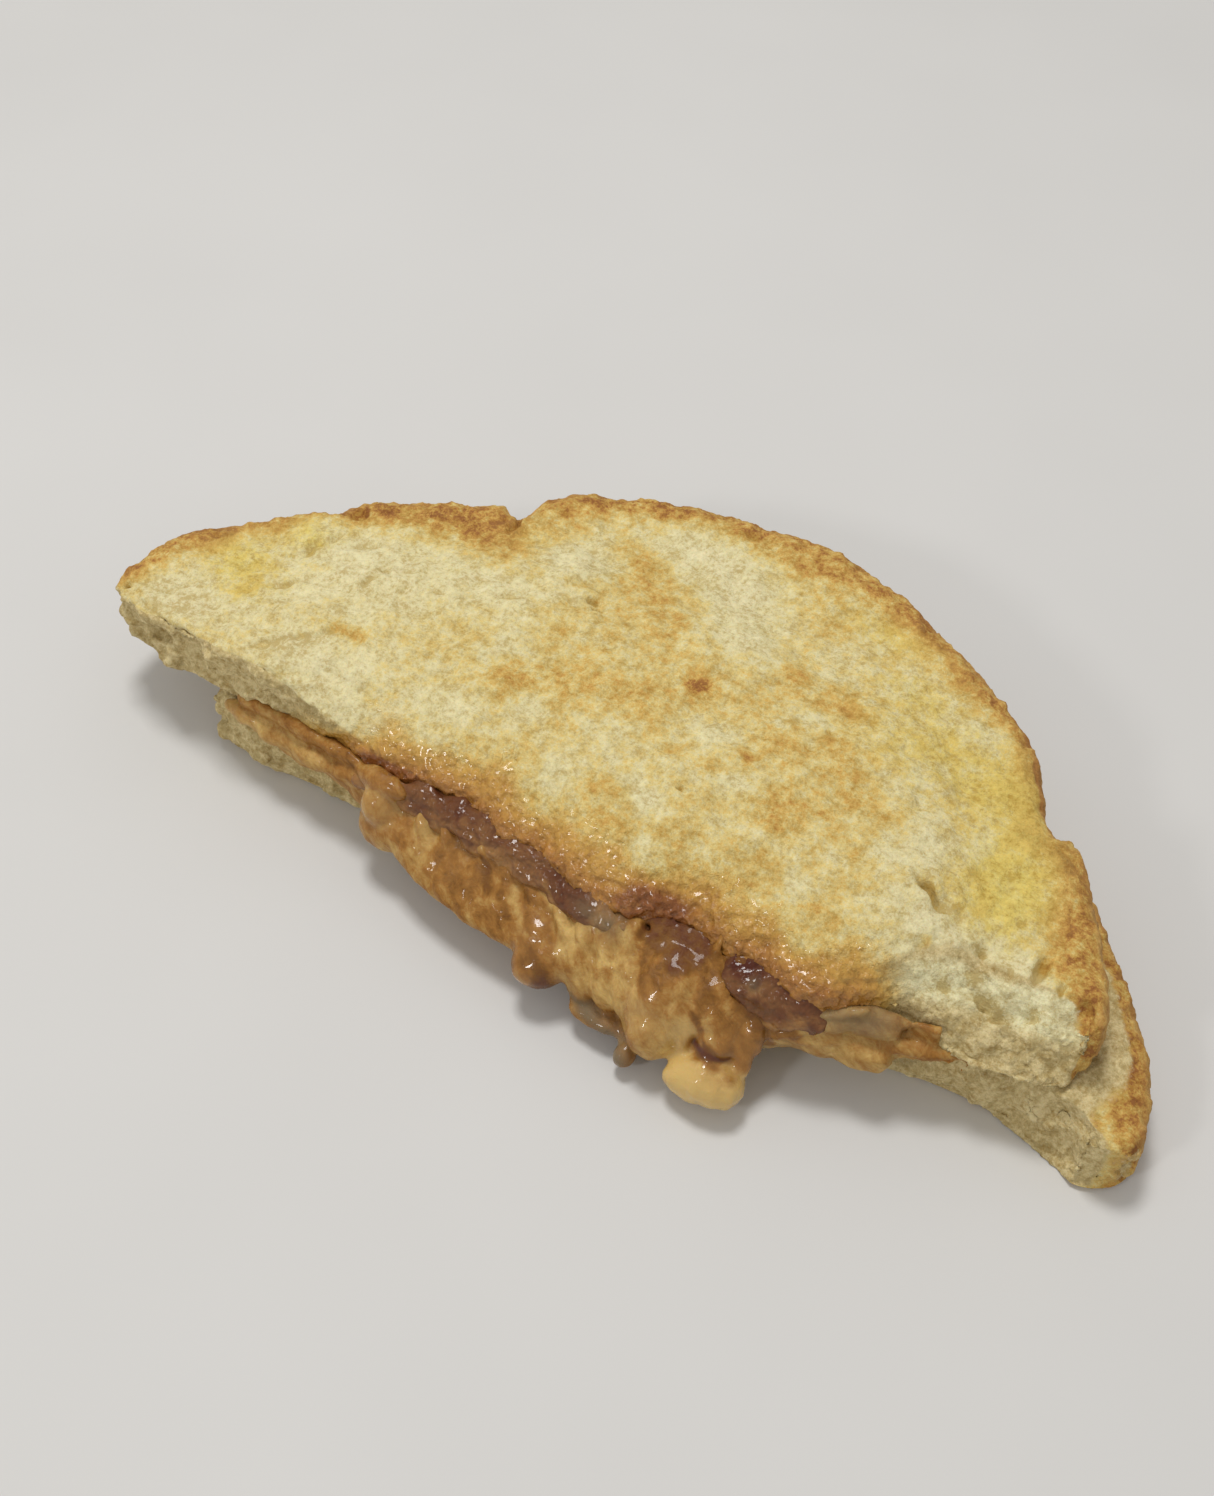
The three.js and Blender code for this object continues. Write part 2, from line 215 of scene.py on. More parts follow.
def bread_skin(node, name):
    """The slice's solid as an even skin, finer at the cut."""
    piece = copy_of_node(node, name)
    melt(piece, BREAD_VOXEL, BREAD_SMOOTHING)
    facing = face_directions(piece)
    upright = np.abs(facing[:, 2]) < UPRIGHT
    at_cut = upright & (facing[:, 1] < FORWARD) & (face_centres(piece)[:, 1] < CUT_DEPTH)
    edit_faces(piece, at_cut, bpy.ops.mesh.subdivide, number_cuts=1)
    return piece


upper_bread = bread_skin("bread_slice_top", "upper_bread")
lower_bread = bread_skin("bread_slice_bottom", "lower_bread")

# %% [markdown]
# Where a slice is crust, cut or toasted face follows from where its skin looks. These
# measures are taken before any relief, while the skin is still smooth. They are shares from
# 0 to 1, so that one region fades softly into the next.

# %% Soft steps and distances seen from above
def smooth_step(low, high, values):
    """0 below low, 1 above high, and a soft rise between."""
    share = np.clip((values - low) / (high - low), 0, 1)
    return share * share * (3 - 2 * share)


def plan_distance(points, targets):
    """How far each point is, seen from above, from the nearest target point."""
    tree = kdtree.KDTree(len(targets))
    for index, (x, y, _) in enumerate(targets):
        tree.insert((x, y, 0), index)
    tree.balance()
    return np.array([tree.find((x, y, 0))[2] for x, y, _ in points])


print("a quarter of the way up a soft step:", smooth_step(0, 4, 1))

# %% Where the crust, the cut and the faces are
SURE = 0.8
EVERY_THIRD = 3


def regions_of(piece):
    """Shares, from 0 to 1, of cut, crust, upper face and underside at every point."""
    points = points_of(piece)
    facing = directions_of(piece)
    side = np.hypot(facing[:, 0], facing[:, 1])
    upright = smooth_step(0.7, 0.4, np.abs(facing[:, 2]))
    cut = upright * smooth_step(0.1, 0.45, -facing[:, 1]) * smooth_step(20, 12, points[:, 1])
    crust = smooth_step(0.25, 0.8, side) * (1 - smooth_step(0, 0.3, -facing[:, 1]))
    return {
        "points": points,
        "cut": cut,
        "crust": crust,
        "top": smooth_step(0.3, 0.8, facing[:, 2]),
        "under": smooth_step(0.3, 0.8, -facing[:, 2]),
        "from_crust": plan_distance(points, points[crust > SURE][::EVERY_THIRD]),
        "from_cut": plan_distance(points, points[cut > SURE][::EVERY_THIRD]),
    }


upper = regions_of(upper_bread)
lower = regions_of(lower_bread)
print("cut points on the upper slice:", int((upper["cut"] > 0.5).sum()))

# %% [markdown]
# At the right end the crumb is torn rather than cut: the top face rolls over into a slope.
# A bevel would need a clean edge to work on. Here every point of the upright cut and of the
# strip behind it is slid along to the slope, by the share of the way it has come. So the
# line of the cut is measured first.

# %% The line of the cut
CUT_STEP = 2
HALF_WINDOW = 1.6
ENOUGH_POINTS = 4


def profile(points, cut, top):
    """Every few millimetres of x: the cut's place in y, its foot and the top face's height."""
    rows = []
    for x in np.arange(-4.0, 162.0, CUT_STEP):
        near = np.abs(points[:, 0] - x) < HALF_WINDOW
        on_cut = points[near & (cut > SURE)]
        above = points[near & (top > SURE)]
        if min(len(on_cut), len(above)) <= ENOUGH_POINTS:
            continue
        edge = np.median(on_cut[:, 1])
        strip = above[(above[:, 1] > edge + 3) & (above[:, 1] < edge + 12)]
        if len(strip) > ENOUGH_POINTS:
            rows.append((x, edge, on_cut[:, 2].min(), np.median(strip[:, 2])))
    return np.array(rows).T


cut_line = profile(upper["points"], upper["cut"], upper["top"])
print("the cut is measured at", cut_line.shape[1], "places")

# %% The torn end leans back
ROUNDED = 0.75
FOOT_FROM, FOOT_TO = 128, 136


def move_points(piece, points):
    """Put every point of a piece where an array in millimetres says."""
    values = (points * MM + np.array(START)).astype(np.float32)
    piece.data.vertices.foreach_set("co", values.ravel())
    piece.data.update()


def lean_back(piece, regions, stretch, deep, spread):
    """Turn the corner between the cut and the top face into a slope along a stretch of x."""
    points = regions["points"]
    rise_from, rise_to, fall_from, fall_to = stretch
    share = smooth_step(rise_from, rise_to, points[:, 0])
    share = share * smooth_step(fall_to, fall_from, points[:, 0])
    x, edges, feet, heights = profile(points, regions["cut"], regions["top"])
    edge = np.interp(points[:, 0], x, edges)
    low = np.interp(points[:, 0], x, feet)
    high = np.interp(points[:, 0], x, heights)
    back = points[:, 1] - edge
    on_skin = (1 - regions["under"]) * (back < deep)
    climb = np.clip(points[:, 2] - low, 0, high - low)
    way = (climb + np.clip(back, 0, deep)) / (high - low + deep)
    foot = spread * smooth_step(FOOT_FROM, FOOT_TO, points[:, 0])
    slope_y = edge - foot + (deep + foot) * way
    slope_z = low - 0.5 * foot + (high - low + 0.5 * foot) * way**ROUNDED
    moved = points.copy()
    moved[:, 1] += share * on_skin * (slope_y - points[:, 1])
    moved[:, 2] += share * on_skin * np.minimum(slope_z - points[:, 2], 0)
    move_points(piece, moved)
    regions["points"] = moved
    soft_end = (1 - regions["under"]) * smooth_step(deep + 1.5, deep - 3, back)
    regions["torn"] = share * soft_end * (1 - regions["crust"])
    print(piece.name, "has", int((regions["torn"] > 0.5).sum()), "torn points")


lean_back(upper_bread, upper, (116, 130, 148, 153), deep=6.5, spread=2.2)
lean_back(lower_bread, lower, (140, 148, 156, 160), deep=2.5, spread=0)

# %% [markdown]
# Oil and jam have soaked into the upper slice along the middle of the cut. The edge of such
# a stain could be painted by hand. Here it is the distance from the cut, with a wandering
# reach, and small soft patches stand for drops of jam.

# %% Soft patches and the soaked band
SOAKED_REACH = 5.8
WET_EDGE = 1.5
JAM_SPOTS = [(90.6, -3.2, 2.2, 2, 0.6), (94.5, -1.6, 3, 1.6, 0.35)]


def reach_of(points, x, y, wide, deep):
    """The square of the distance from a place, counted in the two radii."""
    return ((points[:, 0] - x) / wide) ** 2 + ((points[:, 1] - y) / deep) ** 2


def patches(points, spots):
    """The sum of soft round patches: (x, y, radius along x, radius along y, strength)."""
    total = np.zeros(len(points))
    for *spot, strength in spots:
        total += strength * np.exp(-reach_of(points, *spot))
    return total


def soaking(regions):
    """How wet each point of the upper slice is."""
    x, _, z = regions["points"].T
    along = smooth_step(34, 52, x) * smooth_step(131, 121, x)
    reach = SOAKED_REACH + 1.2 * np.sin(x / 3.1) + 0.8 * np.sin(x / 1.7 + 1)
    far = np.exp(-((regions["from_cut"] / reach) ** 3))
    near = np.exp(-((regions["from_cut"] / WET_EDGE) ** 2))
    stain = regions["cut"] * smooth_step(22, 38, x) * smooth_step(56, 48, x)
    stain = 0.6 * stain * smooth_step(22, 16, z)
    return along * (0.58 * far + 0.26 * near) + patches(regions["points"], JAM_SPOTS) + stain


upper["soaked"] = soaking(upper)
lower["soaked"] = np.zeros(len(lower["points"]))
print("soaked points:", int((upper["soaked"] > 0.3).sum()))

# %% [markdown]
# ## Relief of the bread
# The skin is still too smooth. Sculpting each wrinkle would take days, while a Displace
# modifier presses a whole pattern in at once. A vertex group says where it works, with a
# weight for each point, and an empty object that is stretched draws the pattern out.

# %% Weights and pressed patterns
WEIGHT_LEVELS = 64


def weigh(piece, name, weights):
    """Fill a vertex group, which limits where a modifier works."""
    group = piece.vertex_groups.get(name) or piece.vertex_groups.new(name=name)
    levels = np.round(np.clip(weights, 0, 1) * WEIGHT_LEVELS).astype(int)
    for level in range(WEIGHT_LEVELS + 1):
        members = np.flatnonzero(levels == level).tolist()
        if members:
            group.add(members, level / WEIGHT_LEVELS, "REPLACE")


def relief(
    piece, group, size, depth, kind="CLOUDS", middle=0.5, ramp=None, stretch=(1, 1, 1), **settings
):
    """Press a procedural pattern of a size and depth in millimetres into a weighted area."""
    texture = bpy.data.textures.new(f"{piece.name}_{group}", kind)
    texture.noise_scale = size * MM
    for name, value in settings.items():
        setattr(texture, name, value)
    if ramp:
        texture.use_color_ramp = True
        first, last = texture.color_ramp.elements
        first.position, last.position = ramp
        first.color, last.color = (0, 0, 0, 1), (1, 1, 1, 1)
    grid = bpy.data.objects.new("pattern_grid", None)
    bpy.context.scene.collection.objects.link(grid)
    grid.scale = stretch
    bpy.context.view_layer.update()
    finish_modifier(
        piece, "DISPLACE", texture=texture, texture_coords="OBJECT", texture_coords_object=grid,
        direction="NORMAL", mid_level=middle, strength=depth * MM, vertex_group=group,
    )
    bpy.data.objects.remove(grid)


print("relief tools ready, with", WEIGHT_LEVELS, "levels of weight")

# %% [markdown]
# The toasted face is softly wrinkled and the crust is finely rough. The cut shows the
# crumb: at the left it is squeezed into soft layers, and at the right it stays open, thin
# walls round bubbles of many sizes. Cell patterns make the bubbles: a ramp keeps only the
# middle of each cell, which is pressed in.

# %% Wrinkles, layers, bubbles and crust
PALE_CORNER = [(137, 8, 11, 5, 1)]


def bake_relief(piece, regions, open_from, open_to):
    """Press the bread's patterns into the skin, from coarse to fine."""
    points = regions["points"]
    off_table = smooth_step(0.2, 1.6, points[:, 2])
    dry_cut = np.maximum(regions["cut"], regions["torn"]) * off_table * (1 - regions["soaked"])
    open_crumb = smooth_step(open_from, open_to, points[:, 0])
    torn_ends = smooth_step(132, 146, points[:, 0]) + smooth_step(26, 8, points[:, 0])
    pale_end = 0.6 * patches(points, PALE_CORNER) * regions["top"] + 0.5 * regions["torn"]
    weigh(piece, "everywhere", off_table * (1 - 0.9 * regions["under"]))
    weigh(piece, "faces", regions["top"] * off_table)
    weigh(piece, "rim", regions["crust"] * off_table)
    weigh(piece, "wet", regions["soaked"] * off_table)
    weigh(piece, "cut_face", dry_cut)
    weigh(piece, "layered", dry_cut * (1 - open_crumb))
    weigh(piece, "ragged", dry_cut * torn_ends)
    weigh(piece, "open", np.clip(dry_cut * open_crumb + pale_end * off_table, 0, 1))
    relief(piece, "everywhere", 14, 1.8, noise_depth=1)
    relief(piece, "faces", 4.0, 1.4, noise_depth=3)
    relief(piece, "faces", 1.5, 0.7, noise_depth=2)
    relief(piece, "wet", 2.6, 1.0, noise_depth=2)
    relief(piece, "wet", 1.3, 0.3, kind="VORONOI", middle=0, ramp=(0.5, 0.1))
    relief(piece, "rim", 3.0, 0.8, noise_depth=2)
    relief(piece, "rim", 1.2, 0.5, noise_depth=1)
    relief(piece, "cut_face", 6.0, 2.6, noise_depth=1)
    relief(piece, "layered", 4.0, 3.4, noise_depth=2, stretch=(1.3, 1, 1))
    relief(piece, "layered", 2.0, 1.9, noise_depth=2, stretch=(2.4, 1, 1))
    relief(piece, "open", 4.4, -0.25, kind="VORONOI", middle=0, ramp=(0.3, 0))
    relief(piece, "open", 2.2, -0.2, kind="VORONOI", middle=0, ramp=(0.36, 0))
    relief(piece, "ragged", 5.0, 2.4, noise_depth=1)
    relief(piece, "cut_face", 1.2, 0.4, noise_depth=1)
    print(piece.name, "relief pressed in, on", len(points), "points")


bake_relief(upper_bread, upper, open_from=116, open_to=128)
bake_relief(lower_bread, lower, open_from=60, open_to=100)

# %% [markdown]
# A pressed slice has creases, little steps and holes at definite places. They could be cut
# in with a knife, one by one. Here each is a short line of numbers: creases are grooves
# along a wandering line, and holes are soft dents.

# %% Where the creases and holes lie
# Two ends, the half-width of the groove and its depth.
CREASES = [
    (((17.5, 31), (15.6, 27.6)), 0.5, 0.7), (((15.6, 27.6), (13.4, 23.4)), 0.6, 0.7),
    (((14, 15.6), (17.4, 18.6)), 0.6, 0.6), (((27.4, 27), (30.6, 25.4)), 0.5, 0.6),
    (((27.6, 21), (28, 26)), 0.6, 0.5), (((20, 28.6), (24, 32)), 0.7, 0.5),
    (((36, 27), (41, 26)), 0.4, 0.4), (((41, 26.6), (43.6, 28.6)), 0.4, 0.4),
    (((46.6, 29.8), (49.8, 31.6)), 0.5, 0.5), (((34, 22), (32.6, 27.6)), 0.5, 0.4),
    (((0.6, 7.4), (3.4, 12.6)), 0.5, 0.5), (((10, 7.6), (14, 5)), 0.6, 0.5),
    (((38.9, 50.6), (39.4, 44.6)), 0.4, 1.2), (((39.4, 44.6), (42.6, 41.6)), 0.4, 0.4),
    (((122.5, 15.6), (126.8, 13.4)), 0.6, 1.5), (((151, 14), (153, 8)), 0.5, 0.5),
]
# Place, two radii and depth.
HOLES = [
    (59.1, 37.5, 1.1, 0.8, 1), (60.7, 36.1, 1, 0.5, 0.8), (54, 37.2, 1.6, 0.7, 0.3),
    (64.3, 14, 0.8, 1, 0.5), (-6, 5.6, 0.5, 0.5, 1.4), (88.2, 12.2, 0.5, 0.4, 0.9),
    (71.5, 59.2, 0.6, 0.5, 0.5), (84.6, 57.6, 0.7, 0.4, 0.6), (86.4, 53.8, 0.5, 0.4, 0.6),
    (127.8, 14.2, 2.6, 1.4, 0.5), (134, 11.8, 0.8, 0.7, 0.9), (141.8, 13, 0.9, 2, 1.2),
    (145.2, 11.6, 0.4, 1, 0.9), (137, 7.2, 1.3, 0.7, 1.1), (139.6, 6.3, 1.2, 0.7, 1.1),
    (134.4, 8.6, 1.2, 1, 0.6), (138.6, 10.6, 0.7, 0.9, 0.5), (131.6, 6.2, 1, 0.6, 0.6),
    (143.4, 8, 0.8, 1, 0.7), (48, 14, 0.8, 0.7, 0.3), (101.4, 32.4, 0.7, 0.4, 0.5),
    (44, 53.6, 1, 1.4, 0.4), (16.4, 36.6, 1.6, 1.2, 0.8), (72.4, 64.6, 1.2, 0.6, 0.6),
    # the last dent, wide and shallow at the left tip, darkens it as painted shade where it curves
    # down
    (137, 18, 0.9, 0.8, 0.4), (0.5, 5.6, 7.5, 3.8, 0.32),
]
print(len(CREASES), "creases and", len(HOLES), "holes")

# %% Pressing them into the toasted face
FACE_DEPTH = 1.3
LEFT_STEP = ((20.5, 4.6), (28, 11.4))
TORN_RIDGE = ((124.6, 11.6), (131.6, 9.4))


def line_distance(points, ends):
    """Distance in plan from a wandering line, the signed side of it, and a taper to its ends."""
    (ax, ay), (bx, by) = ends
    along = np.array((bx - ax, by - ay), float)
    length = np.hypot(*along)
    away = points[:, :2] + 0.35 * np.sin(1.7 * points[:, 1::-1]) - (ax, ay)
    share = np.clip(away @ along / length**2, 0, 1)
    gap = away - share[:, None] * along
    side = (along[0] * away[:, 1] - along[1] * away[:, 0]) / length
    return np.hypot(gap[:, 0], gap[:, 1]), side, np.sin(np.pi * np.clip(share, 0.1, 0.9))


def shape_face(points, top_share):
    """Press the creases, steps and holes in, and raise the torn edges beside them."""
    drop = np.zeros(len(points))
    for ends, width, depth in CREASES:
        gap, _, taper = line_distance(points, ends)
        groove = np.exp(-((gap / width) ** 2)) - 0.35 * np.exp(-((gap / width - 2.4) ** 2))
        drop += depth * taper * groove
    for *spot, depth in HOLES:
        drop += depth * np.exp(-(reach_of(points, *spot) ** 2))
    gap, side, _ = line_distance(points, LEFT_STEP)
    drop += 0.6 * np.exp(-((gap / 2.4) ** 2)) * smooth_step(0.5, -0.3, side)
    gap, _, _ = line_distance(points, TORN_RIDGE)
    drop -= 0.7 * np.exp(-((gap / 1.6) ** 2))
    moved = points.copy()
    moved[:, 2] -= FACE_DEPTH * drop * top_share
    # The second result, how deep each point lies, is used for painted shade.
    return moved, np.clip(drop * top_share, 0, 1)


moved, upper["crease_shade"] = shape_face(points_of(upper_bread), upper["top"])
move_points(upper_bread, moved)
lower["crease_shade"] = np.zeros(len(lower["points"]))
print("points in creases and holes:", int((upper["crease_shade"] > 0.3).sum()))

# %% [markdown]
# ## Toasting
# The browning follows the hot iron: strong on the rim, blotchy in the middle, and almost
# none at the left, where the bread was not pressed. It could be painted by hand. Lists of
# soft round patches do the same and stay readable: each has a place, two radii and a
# strength, and a minus sign means paler.

# %% Pale patches at the left, in the middle and at the torn end
UPPER_TOAST = [
    (20, 24, 20, 12, -0.36), (4, 7, 9, 4, -0.34), (33, 5, 14, 6, -0.3), (52, 46, 6, 6, -0.34),
    (66, 58, 9, 5, -0.34), (44, 33, 12, 7, -0.22), (53, 22, 2, 4, -0.2), (63, 13, 3, 3, -0.26),
    (53, 9, 6, 3, -0.2), (76, 52, 8, 8, -0.36), (83, 42, 6, 5, -0.34), (99, 34, 4, 1.6, -0.25),
    (87, 23, 6, 2.4, -0.22), (97, 25, 4, 4, 0.14), (95, 17, 3, 2, -0.22),
    (85, 8.6, 2.4, 1.9, -0.5), (88, 3, 2, 1.2, -0.3), (109, 7, 2.4, 1.6, -0.28),
    (122, 22, 4, 6, -0.3), (127.5, 27, 1.6, 3, -0.2), (117, 16.6, 2.2, 1, -0.3),
    (101, 11, 3, 1.3, -0.22), (115, 28, 3, 3, -0.14), (120, 46, 7, 3, -0.26),
    (72, 7, 3, 4, -0.22), (76, 15, 3, 3, -0.18), (138, 8, 12, 5, -0.6), (128, 11, 6, 2.4, -0.4),
    (96, 47, 4, 5, -0.14),
    # the rim, thin at the left and golden in its notch
    (3, 24, 5, 5, -0.26), (-2, 14, 4, 6, -0.2), (12, 31, 6, 4, -0.2), (41, 48, 5, 5, -0.2),
    (43, 55, 4, 4, -0.2),
]
print(len(UPPER_TOAST), "pale patches")

# %% Golden and brown patches
UPPER_TOAST += [
    (143, 26, 5, 6, 0.2), (146, 18, 4.6, 5, 0.26), (149, 11, 4.6, 5, 0.36),
    (152, 5, 4.6, 5, 0.46), (142, 36, 5, 7, 0.25), (134, 46, 6, 6, 0.2), (122, 55, 7, 4, 0.16),
    (106, 61, 8, 3, 0.14), (2, 19, 7, 4, 0.22), (9, 27, 6, 3, 0.18), (14, 31, 6, 3, 0.15),
    (30, 44, 10, 5, 0.26), (18, 38, 8, 4, 0.26), (37, 41, 6, 5, 0.2), (43, 45, 5, 7, 0.16),
    (45, 55, 4, 6, 0.24), (51, 60, 7, 3, 0.2), (58, 64, 4, 3, 0.2), (72, 65, 4, 2, 0.2),
    (6, 24, 9, 6, 0.22), (-1, 22, 4, 5, 0.2), (11, 15, 3, 3, 0.36), (-4, 13, 3, 3, 0.25),
    (65, 47, 7, 8, 0.18), (72, 41, 6, 5, 0.16), (59, 52, 5, 2, 0.12), (18, 22.5, 3, 1.4, 0.24),
    (31, 12.6, 5, 1.5, 0.36), (41, 6.5, 2, 3, 0.22), (57, 17, 4, 3, 0.2), (62, 21, 8, 4, 0.1),
    (71, 24.6, 5, 4, 0.12), (80.5, 30, 1.5, 1.2, 0.34), (82, 30.4, 4, 3.6, 0.24),
    (91, 39, 6, 3.4, 0.2), (101, 38, 3, 2, 0.2), (104, 30, 4, 3, 0.14), (78, 23, 5, 3, 0.14),
    (93.5, 22, 1.6, 1.4, 0.2), (91, 18, 3, 1.4, 0.14), (102, 15.4, 3, 2.6, 0.2),
    (107, 18.4, 4, 1, 0.2), (109, 25, 4, 4, 0.1), (129.2, 21, 1.4, 1.6, 0.3),
    (131.5, 17, 1.2, 3, 0.3), (127.6, 8, 0.9, 2, 0.6), (127, 38, 6, 4, 0.16),
    (132, 33, 4, 6, 0.2), (84, 63, 14, 3, 0.2), (96, 4, 22, 4, 0.14), (92, 53, 5, 3, 0.12),
    (60, 31, 8, 3, 0.06),
]
print(len(UPPER_TOAST), "patches in all")

# %% Browning of both slices
CRUST_BROWN = 0.68


def paint(piece, name, values):
    """Keep one number for each point, which a material can read."""
    layer = piece.data.attributes.get(name)
    if layer is None:
        layer = piece.data.attributes.new(name, "FLOAT", "POINT")
    layer.data.foreach_set("value", np.clip(values, 0, 1).astype(np.float32))


def toasting(regions, spots, base, rim):
    """How brown each point of the toasted face and crust is."""
    near_rim = np.exp(-((regions["from_crust"] / rim) ** 2))
    browned = base + patches(regions["points"], spots) + 0.4 * near_rim
    crust = regions["crust"]
    return np.clip(browned, 0, 0.8) * (1 - crust) + CRUST_BROWN * crust


upper_browning = toasting(upper, UPPER_TOAST, base=0.4, rim=4.6)
paint(upper_bread, "toast", upper_browning)
paint(lower_bread, "toast", toasting(lower, [], base=0.5, rim=4))
print("mean browning of the upper slice:", round(float(upper_browning.mean()), 2))

# %% [markdown]
# Butter has melted in where the toast is more yellow, and at the right end the bread stayed
# pale. Crumb shows at the cut and between the slices. Each of these is one more number for
# each point of the skin, and the bread's material mixes its colours by them.

# %% Butter, crumb, crust and soaked marks
BUTTER = [
    (133, 22, 7, 10, 1), (127, 38, 9, 8, 0.7), (112, 38, 10, 10, 0.5), (100, 57, 10, 4, 0.5),
    (12, 14, 6, 5, 0.5), (5, 19, 6, 6, 0.7), (13, 28, 5, 5, 0.7), (107, 48, 8, 4, 0.4),
    (42, 46, 5, 5, 0.3),
]
UPPER_PALE_END = [
    (137, 7.5, 10, 4.2, 0.9), (146, 22, 4, 6, -0.6), (149, 14, 3.5, 6, -0.8), (152, 7, 3.4, 6, -1),
]
LOWER_PALE_END = [(159, 4, 4.5, 7, -0.9), (154, 2, 2, 2, -0.3)]

for piece, regions, inner_face, end_spots in (
    (upper_bread, upper, "under", UPPER_PALE_END),
    (lower_bread, lower, "top", LOWER_PALE_END),
):
    bare = regions["cut"] + 0.9 * regions[inner_face] * smooth_step(0.5, 4, regions["from_crust"])
    pale_end = patches(regions["points"], end_spots)
    bare = bare + (pale_end + regions["torn"]) * (1 - regions["crust"])
    paint(piece, "crumb", bare)
    # Painted light and shade: the torn crumb is drawn lighter near the top and fades lower down.
    paint(piece, "torn", regions["torn"] * smooth_step(15.5, 20.5, regions["points"][:, 2]))
    paint(piece, "crust", regions["crust"])
    paint(piece, "butter", patches(regions["points"], BUTTER))
    paint(piece, "soaked", regions["soaked"])
    # Painted shade: creases and holes darken by how deep they lie.
    paint(piece, "crease_shade", regions["crease_shade"])
    print(piece.name, "has", int((bare > 0.5).sum()), "points of bare crumb")

# %% [markdown]
# The faces between the slices and under them are hidden. Deleting them would open the shell,
# so they are merged into a few large triangles.

# %% Thinning what nobody sees
HIDDEN_SHARE = 0.05
LOOKS_DOWN, BEHIND_CUT = -0.8, 5


def thin_hidden_faces(piece, hidden):
    """Merge away the faces that the neighbouring piece covers."""
    edit_faces(piece, hidden, bpy.ops.mesh.decimate, ratio=HIDDEN_SHARE)


for piece in (upper_bread, lower_bread):
    lower_side = face_directions(piece)[:, 2] < LOOKS_DOWN
    thin_hidden_faces(piece, lower_side & (face_centres(piece)[:, 1] > BEHIND_CUT))

# %% [markdown]
# ## The filling
# Warm peanut butter hangs from the cut in soft folds, lobes and a drop. Metaballs could make
# it, but they are slow to place. Stretched balls that overlap, melted into one skin and
# smoothed, look just as soft, and each ball is one readable line: two ends, half its width,
# half its thickness and its tone. Tone 0 is pale peanut butter, 0.5 is brown where oil
# stands, and 1 is jam.

# %% The band and the small lobe at the left
PEANUT_BUTTER_DOLLOPS = [
    # the lumpy band at the left
    ((16, 0.6, 11.6), (24, -0.6, 12.2), 1.6, 1.3, 0.17),
    ((23, -0.6, 11.4), (31, -1.2, 12.2), 1.8, 1.6, 0.18),
    ((30, -1.1, 11.4), (38, -1.7, 12.6), 1.9, 1.8, 0.23),
    ((37, -1.2, 12.2), (45, -2.2, 13.4), 1.8, 1.8, 0.33),
    ((27, -0.6, 9.6), (36, -0.8, 9.8), 1.4, 1.5, 0.28),
    ((19, 0.6, 14.6), (27, 0, 15.4), 1.2, 1.2, 0.3),
    ((26, 0, 15.4), (35, -0.6, 15.6), 1.2, 1.3, 0.36),
    ((34, -0.6, 15.6), (43.4, -1.3, 15.9), 1.2, 1.3, 0.42),
    # the small glossy lobe, up to the edge of the bread
    ((47.4, -2.6, 14.8), (50.2, -4.9, 11.6), 3.8, 2.5, 0.38),
    ((43.4, -2, 15.6), (51.4, -3.1, 16.4), 1.9, 1.9, 0.38),
]
print(len(PEANUT_BUTTER_DOLLOPS), "dollops of peanut butter at the left")

# %% The mass in the middle and the ridge that holds the jam
PEANUT_BUTTER_DOLLOPS += [
    # the mass in the middle, from its upper edge down
    ((53, -3.6, 12.4), (54, -6.8, 9.4), 3.8, 1.9, 0.32),
    ((56.5, -3.8, 12.4), (57.6, -8.2, 9), 4.2, 2, 0.33),
    ((60, -4.2, 12.2), (61.2, -9.4, 8.6), 4.4, 2, 0.35),
    ((63.5, -4.4, 12.4), (64.8, -10.4, 8.4), 4.4, 2, 0.37),
    ((67, -4.8, 12.6), (68.2, -10.8, 8.3), 4.4, 2, 0.35),
    ((70.5, -5.2, 12.6), (71.6, -11.2, 8.2), 4.4, 2, 0.34),
    ((74, -5.8, 12.2), (75.2, -11.4, 8), 4.2, 2, 0.28),
    ((77, -6.6, 12), (78.6, -11.4, 8.4), 3.6, 2, 0.24),
    ((51.6, -6.2, 9.2), (64, -10.2, 8), 2, 1.9, 0.22),
    ((63, -10, 8.2), (78, -11.2, 8.2), 1.9, 1.9, 0.23),
    # the ridge that holds the jam
    ((50, -2.6, 13.4), (59, -3.2, 12.6), 1.6, 1.6, 0.34),
    ((58, -3.2, 12.6), (66.4, -3.8, 13.4), 1.6, 1.6, 0.42),
    ((65, -3.8, 13.6), (74, -5, 13.4), 1.6, 1.6, 0.44),
    ((73, -5, 13.4), (82, -6.5, 13.2), 1.7, 1.6, 0.36),
    ((81, -6.4, 13.4), (91.6, -7.4, 14.6), 1.7, 1.5, 0.22),
]
print(len(PEANUT_BUTTER_DOLLOPS), "with the mass")

